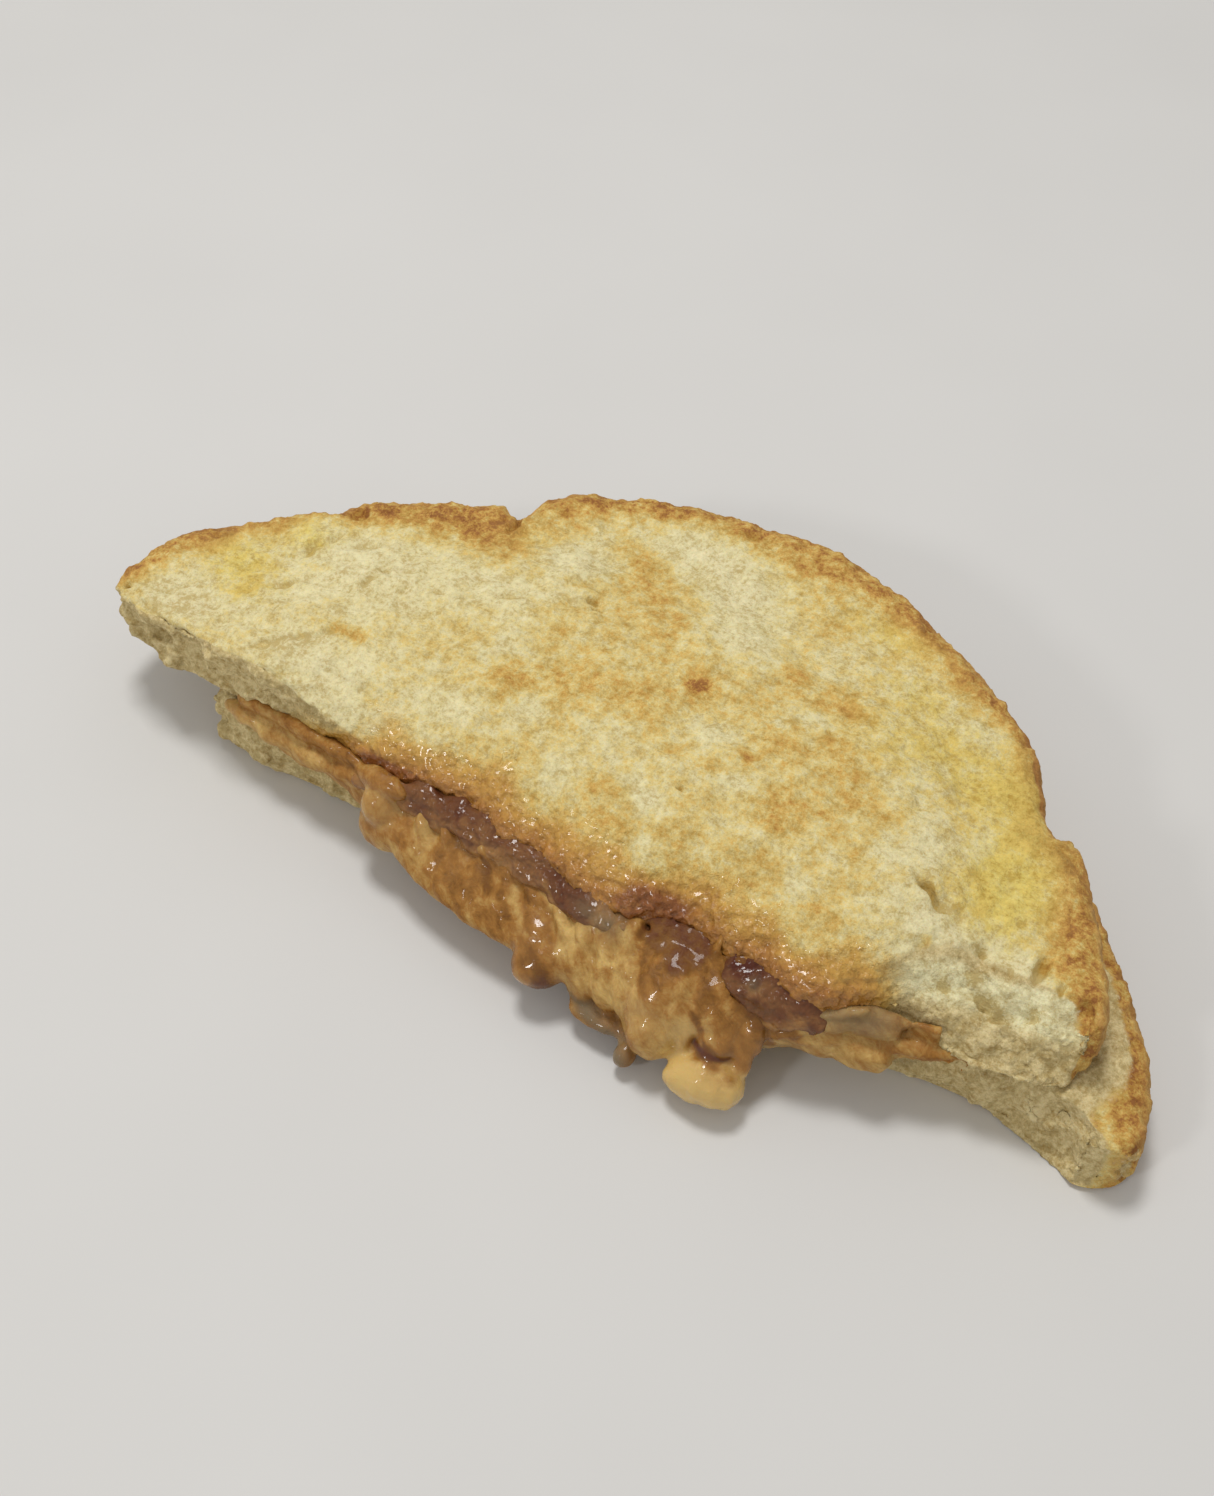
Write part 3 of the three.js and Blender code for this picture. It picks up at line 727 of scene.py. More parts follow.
# %% Tongues, slanting folds and the red blob
PEANUT_BUTTER_DOLLOPS += [
    # tongues that lap over the jam
    ((55.6, -3.4, 14.9), (57.2, -5.4, 12), 1.7, 1.3, 0.2),
    ((59.4, -3.6, 15), (61.6, -5, 12.4), 1.3, 1.1, 0.42),
    ((64.4, -3.6, 16.2), (68.4, -5.2, 13.6), 0.9, 0.9, 0.3),
    ((73.4, -5, 15.2), (77.6, -7.4, 12.4), 1.2, 1, 0.42),
    # the slanting folds
    ((69.4, -5.6, 13.4), (73.8, -7.9, 11.4), 1, 1, 0.34),
    ((73.4, -7.5, 11.8), (77.6, -9.4, 11), 1.4, 1.3, 0.14),
    ((77.2, -9.2, 11.4), (81.6, -10.6, 10.4), 1.7, 1.5, 0.08),
    ((77.4, -7.2, 12.8), (81.8, -9.4, 11.6), 0.9, 0.8, 0.4),
    ((80, -7, 14.4), (84.2, -9.8, 12.2), 1.2, 1.2, 0.12),
    ((83.8, -7, 15.2), (87, -10, 12.6), 1.3, 1.2, 0.13),
    ((87.2, -7.6, 14.8), (90.2, -10.2, 12.6), 1.3, 1.2, 0.14),
    # the red blob at the lower edge
    ((79.2, -11, 8.2), (82, -11.8, 6.4), 4.8, 3.8, 0.8),
    ((76.4, -10.8, 9), (84, -11, 8.8), 2.4, 2.4, 0.5),
]
print(len(PEANUT_BUTTER_DOLLOPS), "with the tongues and folds")

# %% The tan wall and the large lobe
PEANUT_BUTTER_DOLLOPS += [
    # the tan wall and its strands
    ((83, -8.4, 12), (84.8, -12, 7.4), 3, 2, 0.2),
    ((86.6, -8.4, 12.8), (88.4, -12.4, 7.2), 3.4, 2, 0.17),
    ((90.4, -8.2, 13.4), (92.2, -12.8, 7.2), 3.4, 2, 0.18),
    ((93.6, -8.8, 13), (95.8, -13.4, 7.4), 2.8, 1.9, 0.18),
    ((85.4, -9.4, 12.2), (88.6, -11.6, 10.4), 0.8, 0.9, 0.14),
    ((89.2, -9, 13.4), (93, -12.4, 10.4), 1, 1, 0.14),
    ((91.6, -7.8, 15), (94.6, -11.8, 12), 1.1, 1, 0.16),
    ((85.6, -4.8, 16.6), (87.2, -8.2, 14.2), 1.6, 1.3, 0.3),
    ((88.8, -4.6, 16.8), (90.4, -8.2, 14.4), 1.9, 1.4, 0.26),
    ((91.4, -4.6, 16.8), (92.6, -8, 14.8), 1.5, 1.3, 0.3),
    # the large lobe, brown and hollow above, pale below; the brown above is oil and painted shade
    ((96.6, -3, 14.2), (97.6, -5.6, 13.6), 4.4, 1.6, 0.6),
    ((97.4, -5.6, 13.6), (98.8, -9, 12.8), 4.4, 1.6, 0.42),
    ((98.6, -9, 12.7), (99.4, -12.4, 10.8), 4.3, 2.6, 0.28),
    ((99, -12.6, 9.8), (100.8, -13.8, 5.8), 4.4, 3.4, 0.16),
    ((102.2, -10.6, 13.4), (104.2, -12.6, 9.6), 1.2, 1.2, 0.12),
    ((104, -12.8, 9.6), (104, -13.6, 6.8), 1.1, 1.1, 0.16),
    # dark oil under the arch of the bread, darkened further as painted shade
    ((91.4, -3.2, 16.4), (96.6, -1.4, 16.9), 1.4, 1.2, 0.6),
    ((96.2, -1.2, 16.9), (102.8, -2.2, 16.6), 1.4, 1.2, 0.62),
]
print(len(PEANUT_BUTTER_DOLLOPS), "with the large lobe")

# %% The fold, the drop, the strands and the drip
PEANUT_BUTTER_DOLLOPS += [
    # the fold beside it
    ((103, -4.4, 15.9), (104.6, -9.2, 13.6), 2.3, 1.5, 0.46),
    ((105.8, -7.4, 14), (108, -11, 10.8), 2.2, 1.7, 0.21),
    ((107.4, -10.4, 10.8), (109.9, -11.8, 8.8), 2.1, 1.6, 0.24),
    ((105.2, -12.2, 8.4), (109.8, -11.4, 8.4), 1.1, 0.8, 0.9),
    # the drop
    ((104.9, -16.2, 4.5), (112.2, -13.9, 4.5), 3.3, 3.5, 0),
    # the thin wall that runs down to the drop
    ((110.2, -8.4, 11.2), (112.9, -12.4, 6.4), 1.5, 1.1, 0.26),
    ((111.6, -7.4, 12), (113, -9.4, 8.4), 1.3, 1.1, 0.66),
    # a string from the bread to the fold
    ((103.2, -1.6, 19.2), (103.1, -3, 18), 0.75, 0.7, 0.46),
    ((103.1, -3, 18), (103.5, -4.8, 16.8), 0.75, 0.7, 0.36),
    # pale strands that run to the right
    ((115.4, -6, 12.2), (119, -4, 15.6), 1.2, 0.9, 0.2),
    ((118.4, -4.2, 15.2), (124.4, -1.2, 17.4), 1.1, 0.8, 0.14),
    ((113, -7.2, 9.8), (118.2, -5.4, 13.2), 1.3, 1, 0.24),
    ((117.6, -5.4, 13), (124, -2, 15.4), 1.3, 1, 0.22),
    ((115, -6.2, 10.2), (123, -3.4, 12.6), 1.5, 1.3, 0.22),
    ((122, -2.4, 14.4), (128.6, -0.6, 14.4), 1.5, 1.3, 0.28),
    ((121, -1.6, 16), (129.4, 0.8, 15.4), 1.4, 1.3, 0.28),
    ((122.6, -3, 10.8), (128.4, -2.4, 10.2), 2.2, 2, 0.2),
    ((127, -1.4, 12.2), (136.4, 1.9, 12.2), 1.5, 1.2, 0.34),
    # the thin drip
    ((86.4, -12, 6.2), (92, -13.5, 5.2), 0.7, 0.5, 0.4),
    ((91, -13.4, 5.3), (95.4, -15.2, 4.5), 0.5, 0.45, 0.4),
    ((95.2, -15.2, 4.5), (96.8, -16.1, 3.2), 0.6, 0.55, 0.36),
]
print(len(PEANUT_BUTTER_DOLLOPS), "dollops of peanut butter in all")

# %% The jam
JAM_DOLLOPS = [
    # along the channel
    ((52.6, -1.2, 15.4), (60, -1.6, 15.2), 1.7, 1.8, 0.6),
    ((58, -1.5, 15.2), (66, -2, 15.6), 1.7, 1.8, 0.45),
    ((64, -1.9, 15.6), (71, -2.8, 15.6), 1.8, 1.7, 0.4),
    ((69, -2.6, 15.6), (77, -3.6, 15.4), 1.8, 1.8, 0.3),
    ((75, -3.4, 15.4), (82, -4.6, 15.4), 1.8, 1.8, 0.55),
    ((80.6, -4.5, 15.6), (85.4, -4.9, 15.8), 1.7, 1.6, 0.8),
    # the fillet under the edge of the bread
    ((52, -0.7, 17.1), (57.6, -1.3, 17.2), 1.5, 1.2, 0.6),
    ((57.3, -1.2, 17.2), (62.8, -1, 17.5), 1.5, 1.2, 0.7),
    ((62.5, -1, 17.5), (68.3, -2, 17.5), 1.5, 1.2, 0.6),
    ((68.1, -2, 17.5), (75.8, -2.4, 17.4), 1.5, 1.2, 0.55),
    ((75.6, -2.4, 17.4), (80, -3.7, 17.3), 1.5, 1.2, 0.7),
    ((79.8, -3.6, 17.3), (85.4, -5, 17.2), 1.5, 1.2, 0.85),
    ((84.6, -4.6, 17.3), (88.6, -4, 17.4), 1.2, 0.9, 0.6),
    # a thin run of it down the mass
    ((68.6, -4.4, 14.8), (71.6, -6, 12.8), 1, 0.7, 0.2),
    # the red pool at the right
    ((106.6, -2.8, 16.6), (106.8, -5.4, 14.4), 3.2, 1.5, 0.6),
    ((109.4, -2.6, 16.8), (109.8, -6.6, 12.8), 3.6, 1.6, 0.56),
    ((112.2, -2.6, 16.8), (112.4, -6.2, 12), 3.4, 1.6, 0.52),
    ((114.6, -3, 16.6), (114.8, -4.8, 13), 3, 1.5, 0.66),
    ((116.8, -2.8, 16.4), (117, -3.8, 14.6), 2.4, 1.4, 0.6),
    ((104.8, -2.4, 17.1), (110, -1.8, 17.6), 1.3, 1.1, 0.75),
    ((109.8, -1.8, 17.6), (114.6, -2.6, 17.3), 1.3, 1.1, 0.9),
    ((114.4, -2.6, 17.3), (118.4, -2.4, 17), 1.2, 1.1, 0.7),
]
# Peanut butter lies under the jam and takes its colour there.
UNDER_JAM = [
    (start, (end[0] + 0.2, end[1] - 0.5, end[2] - 0.7), wide - 0.1, thick - 0.35, tone)
    for start, end, wide, thick, tone in JAM_DOLLOPS
]
print(len(JAM_DOLLOPS), "dollops of jam")

# %% [markdown]
# The tones alone give broad, soft fields. The real filling also has fine runs of oil and
# jam. They could be modelled as more balls, but they have no thickness, so they are streaks:
# two ends as (along, height), half the width and the tone.

# %% Streaks in the peanut butter
PEANUT_BUTTER_STREAKS = [
    # pale, orange and red patches of the mass
    ((56.6, 14.4), (57.2, 12), 1.7, 0.18), ((61.4, 12.4), (66.4, 12.4), 1.4, 0.42),
    ((61.6, 10.8), (65.4, 11), 0.7, 0.42), ((59.6, 8.6), (65.6, 9.4), 1.6, 0.36),
    ((66.6, 14.6), (69.6, 12.4), 0.6, 0.6), ((71.4, 12.6), (74, 11.2), 0.5, 0.5),
    ((74.4, 14.6), (77.5, 12.3), 0.9, 0.46), ((77.5, 12.3), (81.8, 11.5), 0.8, 0.38),
    ((53, 7.2), (64, 6.4), 1.3, 0.24), ((64, 6.4), (77, 6), 1.5, 0.22),
    ((69, 10.4), (73, 9.2), 1, 0.38), ((68.6, 14.8), (71.6, 14.2), 1, 0.48),
    ((73.6, 9.8), (77.4, 9.4), 1, 0.4), ((86.4, 12.4), (90.6, 12.2), 1.2, 0.28),
    ((48, 11.8), (54.4, 11.6), 0.8, 0.46), ((46.4, 14.6), (50.4, 13), 2.6, 0.26),
    # the wall, the hollow under the arch and the lobe; dark tones under the arch are oil and
    # painted shade
    ((86.6, 12), (88.6, 10.2), 0.4, 0.24), ((88.4, 13.6), (91, 11.2), 0.4, 0.22),
    ((96.6, 17.1), (103, 17.1), 0.8, 0.74), ((98.6, 14.4), (102.4, 14.2), 1.7, 0.31),
    ((94.6, 16.2), (97, 14), 0.9, 0.46), ((94.8, 16.6), (98.6, 15.5), 0.8, 0.5),
    ((93.2, 17.2), (101, 17.4), 0.9, 0.76), ((104, 13), (105.8, 10.8), 0.45, 0.5),
    ((105.8, 10.8), (106.6, 9), 0.5, 0.46), ((86, 7.2), (94, 6.6), 0.4, 0.3),
    # the red run beside the drop, the drop and the dark slit over it
    ((110.6, 10.8), (112.8, 8), 1.4, 0.56), ((103.4, 16.6), (104.4, 15), 1, 0.5),
    ((105.4, 4.6), (112, 4.2), 3.8, 0), ((111.2, 9.2), (113.8, 8), 1.1, 0.4),
    ((105.6, 9), (110.4, 8.6), 0.4, 0.95),
    # redder where the pool of jam is near
    ((105.6, 14.4), (108.8, 11.8), 1, 0.46), ((109.4, 11.4), (113, 10.2), 1.2, 0.42),
    ((113, 10.2), (117, 12.4), 1, 0.46),
]
print(len(PEANUT_BUTTER_STREAKS), "streaks in the peanut butter")

# %% Streaks in the jam
JAM_STREAKS = [
    # thin, lighter jam along the lower edge, and dark jam in the pool's corner
    ((52, 14.2), (55, 13.4), 1.1, 0.1), ((55, 13.4), (60, 13.2), 1.2, 0.1),
    ((60, 13.2), (64, 13.8), 1.3, 0.1), ((64, 13.8), (69.5, 14), 1.2, 0.15),
    ((69.5, 14), (76.6, 13.4), 1.2, 0.15), ((76.6, 13.4), (82, 13.4), 1.1, 0.15),
    ((82, 13.6), (91, 15), 1.2, 0.1), ((105, 14.4), (108.4, 11.8), 1.2, 0.15),
    ((57.6, 14.6), (59, 15.2), 0.9, 0.25), ((66, 16.6), (68.4, 15), 0.6, 0.25),
    ((68.4, 15.8), (71, 14.6), 0.7, 0.2), ((77.4, 16.6), (79.8, 14.6), 0.5, 0.15),
    ((109.6, 16.9), (110.2, 16.7), 0.8, 0.05), ((108.6, 12.4), (112.6, 11.6), 1.1, 0.25),
    ((86.8, 16.6), (91, 16.6), 1.5, 0.1), ((112.6, 11.6), (117.4, 14.4), 1, 0.2),
    ((42, 15), (50.5, 15), 2.4, 0.1), ((106.4, 17.3), (110, 17.3), 0.8, 1),
]
print(len(JAM_STREAKS), "streaks in the jam")

# %% Joining dollops
ROUNDED_END = 0.6


def dollop(piece, start, end, wide, thick):
    """Join a stretched ball to a piece, from one point to another."""
    first, last = Vector(start), Vector(end)
    along = last - first
    half_length = along.length / 2 + min(wide, thick) * ROUNDED_END
    bpy.ops.object.select_all(action="DESELECT")
    bpy.ops.mesh.primitive_uv_sphere_add(segments=20, ring_count=12, radius=1)
    ball = bpy.context.object
    ball.scale = (wide * MM, thick * MM, half_length * MM)
    ball.rotation_euler = along.to_track_quat("Z", "Y").to_euler()
    ball.location = place(*((first + last) / 2))
    bpy.ops.object.transform_apply(location=True, rotation=True, scale=True)
    ball.select_set(True)
    piece.select_set(True)
    bpy.context.view_layer.objects.active = piece
    bpy.ops.object.join()


print("a dollop reaches past its ends by", ROUNDED_END, "of its thickness")

# %% Tones and streaks on the skin
FAINT = 0.003
BLEND = 0.9


def gap_to(points, start, end):
    """How far each point is from a straight line between two ends."""
    first = np.array(start)
    along = np.array(end) - first
    share = np.clip((points - first) @ along / (along @ along), 0, 1)
    return np.linalg.norm(points - first - share[:, None] * along, axis=1)


def tones_of(points, dollops, base):
    """The tone of the nearest dollops, blended softly from one to the next."""
    total = np.full(len(points), FAINT * base)
    weight = np.full(len(points), FAINT)
    for start, end, wide, thick, tone in dollops:
        outside = np.maximum(gap_to(points, start, end) - 0.3 * (wide + thick), 0)
        near = np.exp(-((outside / BLEND) ** 2)) / (wide * thick)
        total += near * tone
        weight += near
    return total / weight


def streaked(points, tones, streaks):
    """Tones with short streaks laid over them."""
    result = tones.copy()
    for start, end, width, tone in streaks:
        near = np.exp(-((gap_to(points[:, (0, 2)], start, end) / width) ** 4))
        result += near * (tone - result)
    return result


print("tones blend over", BLEND, "mm")

# %% [markdown]
# Now both fillings are made. The dollops are joined to a copy of the CAD solid, and the
# remesh melts all of it together. Hollows are pressed into the top before the tones are
# read, and the part between the slices is thinned.

# %% Peanut butter and jam
FILLING_VOXEL = 0.36
BETWEEN_SLICES = 3.5
# Hollows in the top of the filling: place, two radii and depth.
PEANUT_BUTTER_DIPS = [
    (97.6, -6, 3.6, 3.4, 0.7), (104, -6.5, 1.8, 2.4, 0.8), (105.2, -11.4, 0.8, 2, 0.8),
]
JAM_DIPS = [(98.4, -6.4, 4.8, 2.8, 2.4), (104, -6.5, 1.8, 2.4, 0.8)]


def filling(node, name, dollops, streaks, dips, base, smoothing):
    """A filling: the CAD solid with its dollops, as one soft skin that knows its tones."""
    piece = copy_of_node(node, name)
    for start, end, wide, thick, _ in dollops:
        dollop(piece, start, end, wide, thick)
    melt(piece, FILLING_VOXEL, smoothing)
    sunk = points_of(piece)
    looks_up = smooth_step(0.2, 0.6, directions_of(piece)[:, 2])
    sunk[:, 2] -= patches(sunk, dips) * looks_up
    move_points(piece, sunk)
    thin_hidden_faces(piece, face_centres(piece)[:, 1] > BETWEEN_SLICES)
    points = points_of(piece)
    paint(piece, "tone", streaked(points, tones_of(points, dollops, base), streaks))
    weigh(piece, "on_show", smooth_step(2.5, 0, points[:, 1]))
    return piece


peanut_butter = filling(
    "peanut_butter", "peanut_butter_flow", PEANUT_BUTTER_DOLLOPS + UNDER_JAM,
    PEANUT_BUTTER_STREAKS, PEANUT_BUTTER_DIPS, base=0.3, smoothing=8,
)
jam = filling("jam", "jam_flow", JAM_DOLLOPS, JAM_STREAKS, JAM_DIPS, base=0.6, smoothing=12)

# %% [markdown]
# Not all of the filling is equally wet. Smooth lobes shine, and thin watery oil covers the
# drip, the jam's right end and the strands. Roughness and colour will follow two more marks,
# placed as in a front view: along, height, two radii and strength.

# %% Gloss and watery oil
GLOSS = [
    (49, 14, 4, 4, 1), (80.5, 7, 4, 4, 0.9), (79, 11, 3, 2, 0.7), (98.4, 12, 3.4, 3.4, 1),
    (109, 5, 7, 4, 1), (104, 11, 2, 3, 0.7), (60, 15, 14, 2, 0.7), (110, 9, 4, 2, 0.8),
    (112, 12, 6, 6, 0.5), (95, 4, 3, 2, 0.8), (20, 12, 4, 1, 0.3), (63, 12, 4, 1.5, 0.4),
]
PEANUT_BUTTER_WATERY = [
    (85.4, 16.8, 1.6, 1.2, 0.5), (88.6, 16.6, 2.2, 1.3, 0.6), (87, 6, 2.4, 0.9, 0.8),
    (90, 5.2, 2.4, 0.9, 0.9), (93.5, 4.4, 2, 1, 1), (96.6, 3.4, 1.6, 1.8, 1),
    (120, 16.2, 5, 2.2, 0.6), (126, 15.8, 4, 2.2, 0.6),
]
JAM_WATERY = [
    (88.4, 16.6, 2.6, 1.3, 0.8), (84.4, 17, 2, 0.8, 0.5), (109.8, 16.8, 0.9, 0.6, 0.6),
]

for piece, mark, spots in (
    (peanut_butter, "gloss", GLOSS),
    (peanut_butter, "watery", PEANUT_BUTTER_WATERY),
    (jam, "watery", JAM_WATERY),
):
    painted = patches(points_of(piece)[:, (0, 2, 1)], spots)
    paint(piece, mark, painted)
    print(piece.name, "has", int((painted > 0.5).sum()), f"{mark} points")

# %% [markdown]
# Both fillings get a slow uneven surface, drawn out downwards as it flowed. The jam gets
# small wet lumps as well.

# %% Uneven surfaces of the filling
relief(peanut_butter, "on_show", 3.4, 0.8, noise_depth=1, stretch=(1, 1.5, 2))
relief(peanut_butter, "on_show", 1.4, 0.2, noise_depth=1)
relief(jam, "on_show", 2.6, 1.5, noise_depth=1, stretch=(1.8, 1, 1))
relief(jam, "on_show", 1.3, 0.4, noise_depth=1)
print("the jam's skin has", len(jam.data.vertices), "points")

# %% [markdown]
# ## Shader maths
# A material is a network of nodes. Written node by node it hides the idea, so a small class
# wraps one socket: adding or multiplying two of them adds the Math node, and one method
# makes every other node.

# %% A socket that can be added and multiplied
class Shade:
    """One output socket of a material's node tree."""

    def __init__(self, material, socket=None):
        self.material = material
        self.socket = socket

    def node(self, kind, inputs=None, output=0, stops=None, **settings):
        """Any node: its type, its settings, and the values or links of its sockets."""
        tree = self.material.node_tree
        made = tree.nodes.new("ShaderNode" + kind)
        for name, value in settings.items():
            setattr(made, name, value)
        if stops:
            ramp = made.color_ramp
            while len(ramp.elements) < len(stops):
                ramp.elements.new(1)
            for element, (position, colour) in zip(ramp.elements, stops):
                element.position = position
                element.color = (*colour, 1)
        for name, value in (inputs or {}).items():
            if isinstance(value, Shade):
                tree.links.new(value.socket, made.inputs[name])
            else:
                made.inputs[name].default_value = value
        return Shade(self.material, made.outputs[output])

    def maths(self, operation, *values):
        """A Math node on sockets or numbers."""
        return self.node("Math", dict(enumerate(values)), operation=operation)

    def __add__(self, other):
        return self.maths("ADD", self, other)

    def __sub__(self, other):
        return self.maths("SUBTRACT", self, other)

    def __mul__(self, other):
        return self.maths("MULTIPLY", self, other)

    def __rsub__(self, other):
        return self.maths("SUBTRACT", other, self)

    __radd__ = __add__
    __rmul__ = __mul__

    def between(self, low, high):
        """0 below low, 1 above high, with a soft rise."""
        inputs = {"Value": self, "From Min": low, "From Max": high}
        return self.node("MapRange", inputs, interpolation_type="SMOOTHSTEP", clamp=True)

    def times(self, colour):
        """Two colours multiplied."""
        return self.node("VectorMath", {0: self, 1: colour}, operation="MULTIPLY")

    def mix(self, *colours):
        """Two colours mixed by this value, through the Mix node's sockets for colours."""
        first, second = (c if isinstance(c, Shade) else (*c, 1) for c in colours)
        return self.node("Mix", {0: self, 6: first, 7: second}, output=2, data_type="RGBA")

    def ramp(self, stops):
        """A colour for every value, through the stops (position, colour)."""
        return self.node("ValToRGB", {"Fac": self}, stops=stops)

    def here(self):
        """The piece's own coordinates."""
        return self.node("TexCoord", output="Object")

    def mapped(self, vector_type="POINT", **inputs):
        """The piece's own coordinates moved, turned or stretched."""
        return self.node("Mapping", {"Vector": self.here(), **inputs}, vector_type=vector_type)

    def noise(self, size, detail=3, roughness=0.55, distortion=0, place=None):
        """Soft noise whose lumps are about size millimetres."""
        inputs = {
            "Vector": place or self.here(), "Scale": 1 / (size * MM), "Detail": detail,
            "Roughness": roughness, "Distortion": distortion,
        }
        return self.node("TexNoise", inputs)

    def cells(self, size):
        """The distance from the middle of cells of about size millimetres."""
        return self.node("TexVoronoi", {"Vector": self.here(), "Scale": 1 / (size * MM)})

    def mark(self, name):
        """A number painted on the piece's points."""
        return self.node("Attribute", attribute_name=name, output="Fac")

    def bump(self, height, strength, distance, **normal):
        """A normal bent by a height in millimetres, over another bump if one is given."""
        inputs = {"Height": height, "Strength": strength, "Distance": distance * MM, **normal}
        return self.node("Bump", inputs)


print("sockets can be added, subtracted, multiplied, mixed and ramped")

# %% A new material and its sockets
def new_material(name):
    """A material with an empty Principled shader, and the start of its expressions."""
    material = bpy.data.materials.new(name)
    material.use_nodes = True
    shader = material.node_tree.nodes["Principled BSDF"]
    return material, shader, Shade(material)


def feed(shader, material, **values):
    """Link or set the shader's sockets, named with underscores for spaces."""
    for name, value in values.items():
        socket = shader.inputs[name.replace("_", " ")]
        if isinstance(value, Shade):
            material.node_tree.links.new(value.socket, socket)
        else:
            socket.default_value = value
    print(material.name, "has", len(material.node_tree.nodes), "nodes")


print("a new material starts from an empty Principled shader")

# %% [markdown]
# ## Bread finish
# Toast is not one brown. The painted browning is broken up by noise at three sizes: blotches,
# mottling and grain. A ramp turns the result into colour. Butter, crumb, crust and the
# soaked band are mixed over it by their marks. An image laid on top could give the same
# colours, but only from one side, while noise covers the whole slice.

# %% Colours of toast
TOAST_RAMP = [
    (0, (0.69, 0.61, 0.35)), (0.22, (0.67, 0.585, 0.31)), (0.42, (0.64, 0.5, 0.19)),
    (0.6, (0.575, 0.375, 0.1)), (0.8, (0.455, 0.235, 0.052)), (1, (0.27, 0.105, 0.026)),
]
SOAKED_RAMP = [
    (0.3, (0.6, 0.39, 0.088)), (0.55, (0.5, 0.27, 0.052)), (0.8, (0.4, 0.18, 0.034)),
    (1, (0.25, 0.085, 0.02)),
]
# Painted shade and light: hollows of the fine relief are darker, humps lighter than the colour.
SHADE_RAMP = [(0, (0.76, 0.67, 0.5)), (0.5, (1, 1, 1)), (1, (1.16, 1.18, 1.24))]
MELTED_BUTTER = (0.65, 0.515, 0.125)
CRUST_LIGHT, CRUST_DARK = (0.53, 0.315, 0.088), (0.34, 0.16, 0.042)
CRUMB_DARK, CRUMB_LIGHT = (0.45, 0.345, 0.15), (0.63, 0.51, 0.26)
# Torn crumb: pale crumb made lighter still as painted light on the slope.
LIT_TORN_DARK, LIT_TORN_LIGHT = (0.63, 0.55, 0.3), (0.78, 0.72, 0.43)
print("from pale to brown in", len(TOAST_RAMP), "steps")

# %% Bread material
def bread_material(name):
    """Toast, crust, crumb and soaked bread by the skin's marks, with painted shade and light."""
    material, shader, start = new_material(name)
    blotch = start.noise(7.0)
    speckle = start.noise(2.4, detail=4, roughness=0.85)
    crinkle = start.noise(3.2, detail=4, roughness=0.9, place=start.mapped(Location=(0.3, 0.3, 0)))
    grain = start.noise(0.8, detail=2, roughness=0.8)
    browned = start.mark("toast")
    mottle = (blotch - 0.5) * 0.8 + (speckle - 0.5) * 2.6 + (grain - 0.5) * 0.9
    toast = browned + mottle * (browned * 0.5 + 0.32)
    face = toast.ramp(TOAST_RAMP)
    butter = (start.mark("butter") + mottle * 0.4).between(0.1, 1.0) * 0.75
    buttered = butter.mix(face, MELTED_BUTTER)
    crust_tone = (blotch + mottle * 0.4).between(0.25, 0.75)
    crust_colour = crust_tone.mix(CRUST_LIGHT, CRUST_DARK)
    crust = (start.mark("crust") + mottle * 0.25).between(0.25, 0.85)
    outside = crust.mix(buttered, crust_colour)
    crumb_tone = (mottle * 1.1 + 0.5).between(0.1, 0.9)
    crumb_colour = crumb_tone.mix(CRUMB_DARK, CRUMB_LIGHT)
    # Painted light on the torn slope, fading downwards by its mark into painted shade.
    lit_torn_colour = crumb_tone.mix(LIT_TORN_DARK, LIT_TORN_LIGHT)
    crumb_colour = start.mark("torn").between(0.2, 0.9).mix(crumb_colour, lit_torn_colour)
    bare = (start.mark("crumb") + mottle * 0.25).between(0.3, 0.6)
    dry = bare.mix(outside, crumb_colour)
    wetness = start.mark("soaked") + mottle * 0.2
    wet = wetness.between(0.12, 0.5)
    wet_colour = wetness.ramp(SOAKED_RAMP)
    colour = wet.mix(dry, wet_colour)
    # Painted shade and light of the fine relief, and painted shade in the creases and holes.
    depth = (crinkle - 0.5) * 2.6 + (grain - 0.5) * 2.0
    painted_shade = (depth * (1 - bare * 0.2) + 0.5 - start.mark("crease_shade") * 0.9).ramp(SHADE_RAMP)
    bubbles = start.cells(1.3) * wet
    rough = start.bump(crinkle, 0.6, 0.7)
    rougher = start.bump(grain, 0.35, 0.2, Normal=rough)
    normal = start.bump(bubbles, 0.6, 0.7, Normal=rougher)
    feed(
        shader, material, Base_Color=colour.times(painted_shade), Normal=normal,
        Roughness=0.85 - wet * 0.6, Subsurface_Weight=0.1, Subsurface_Scale=0.0012,
        Subsurface_Radius=(1.0, 0.6, 0.3), Specular_IOR_Level=0.3, Coat_Weight=wet * 0.4,
        Coat_Roughness=0.08,
    )
    return material


upper_bread.data.materials.append(bread_material("upper_toast"))
lower_bread.data.materials.append(bread_material("lower_toast"))

# %% [markdown]
# ## Filling finishes
# Melted peanut butter is half clear: light goes in and comes out warmer, so it gets
# subsurface scattering and a gloss. Its tone runs from pale to brown, and to wine red where
# jam has mixed in. The jam is darker, wetter and full of small lights.

# %% Peanut butter material
FILLING_RAMP = [
    (0, (0.65, 0.44, 0.15)), (0.07, (0.58, 0.375, 0.125)), (0.2, (0.465, 0.275, 0.082)),
    (0.36, (0.34, 0.155, 0.032)), (0.55, (0.2, 0.084, 0.014)), (0.78, (0.145, 0.05, 0.014)),
    (1, (0.1, 0.026, 0.012)),
]
WATERY_COLOUR = (0.2, 0.14, 0.075)


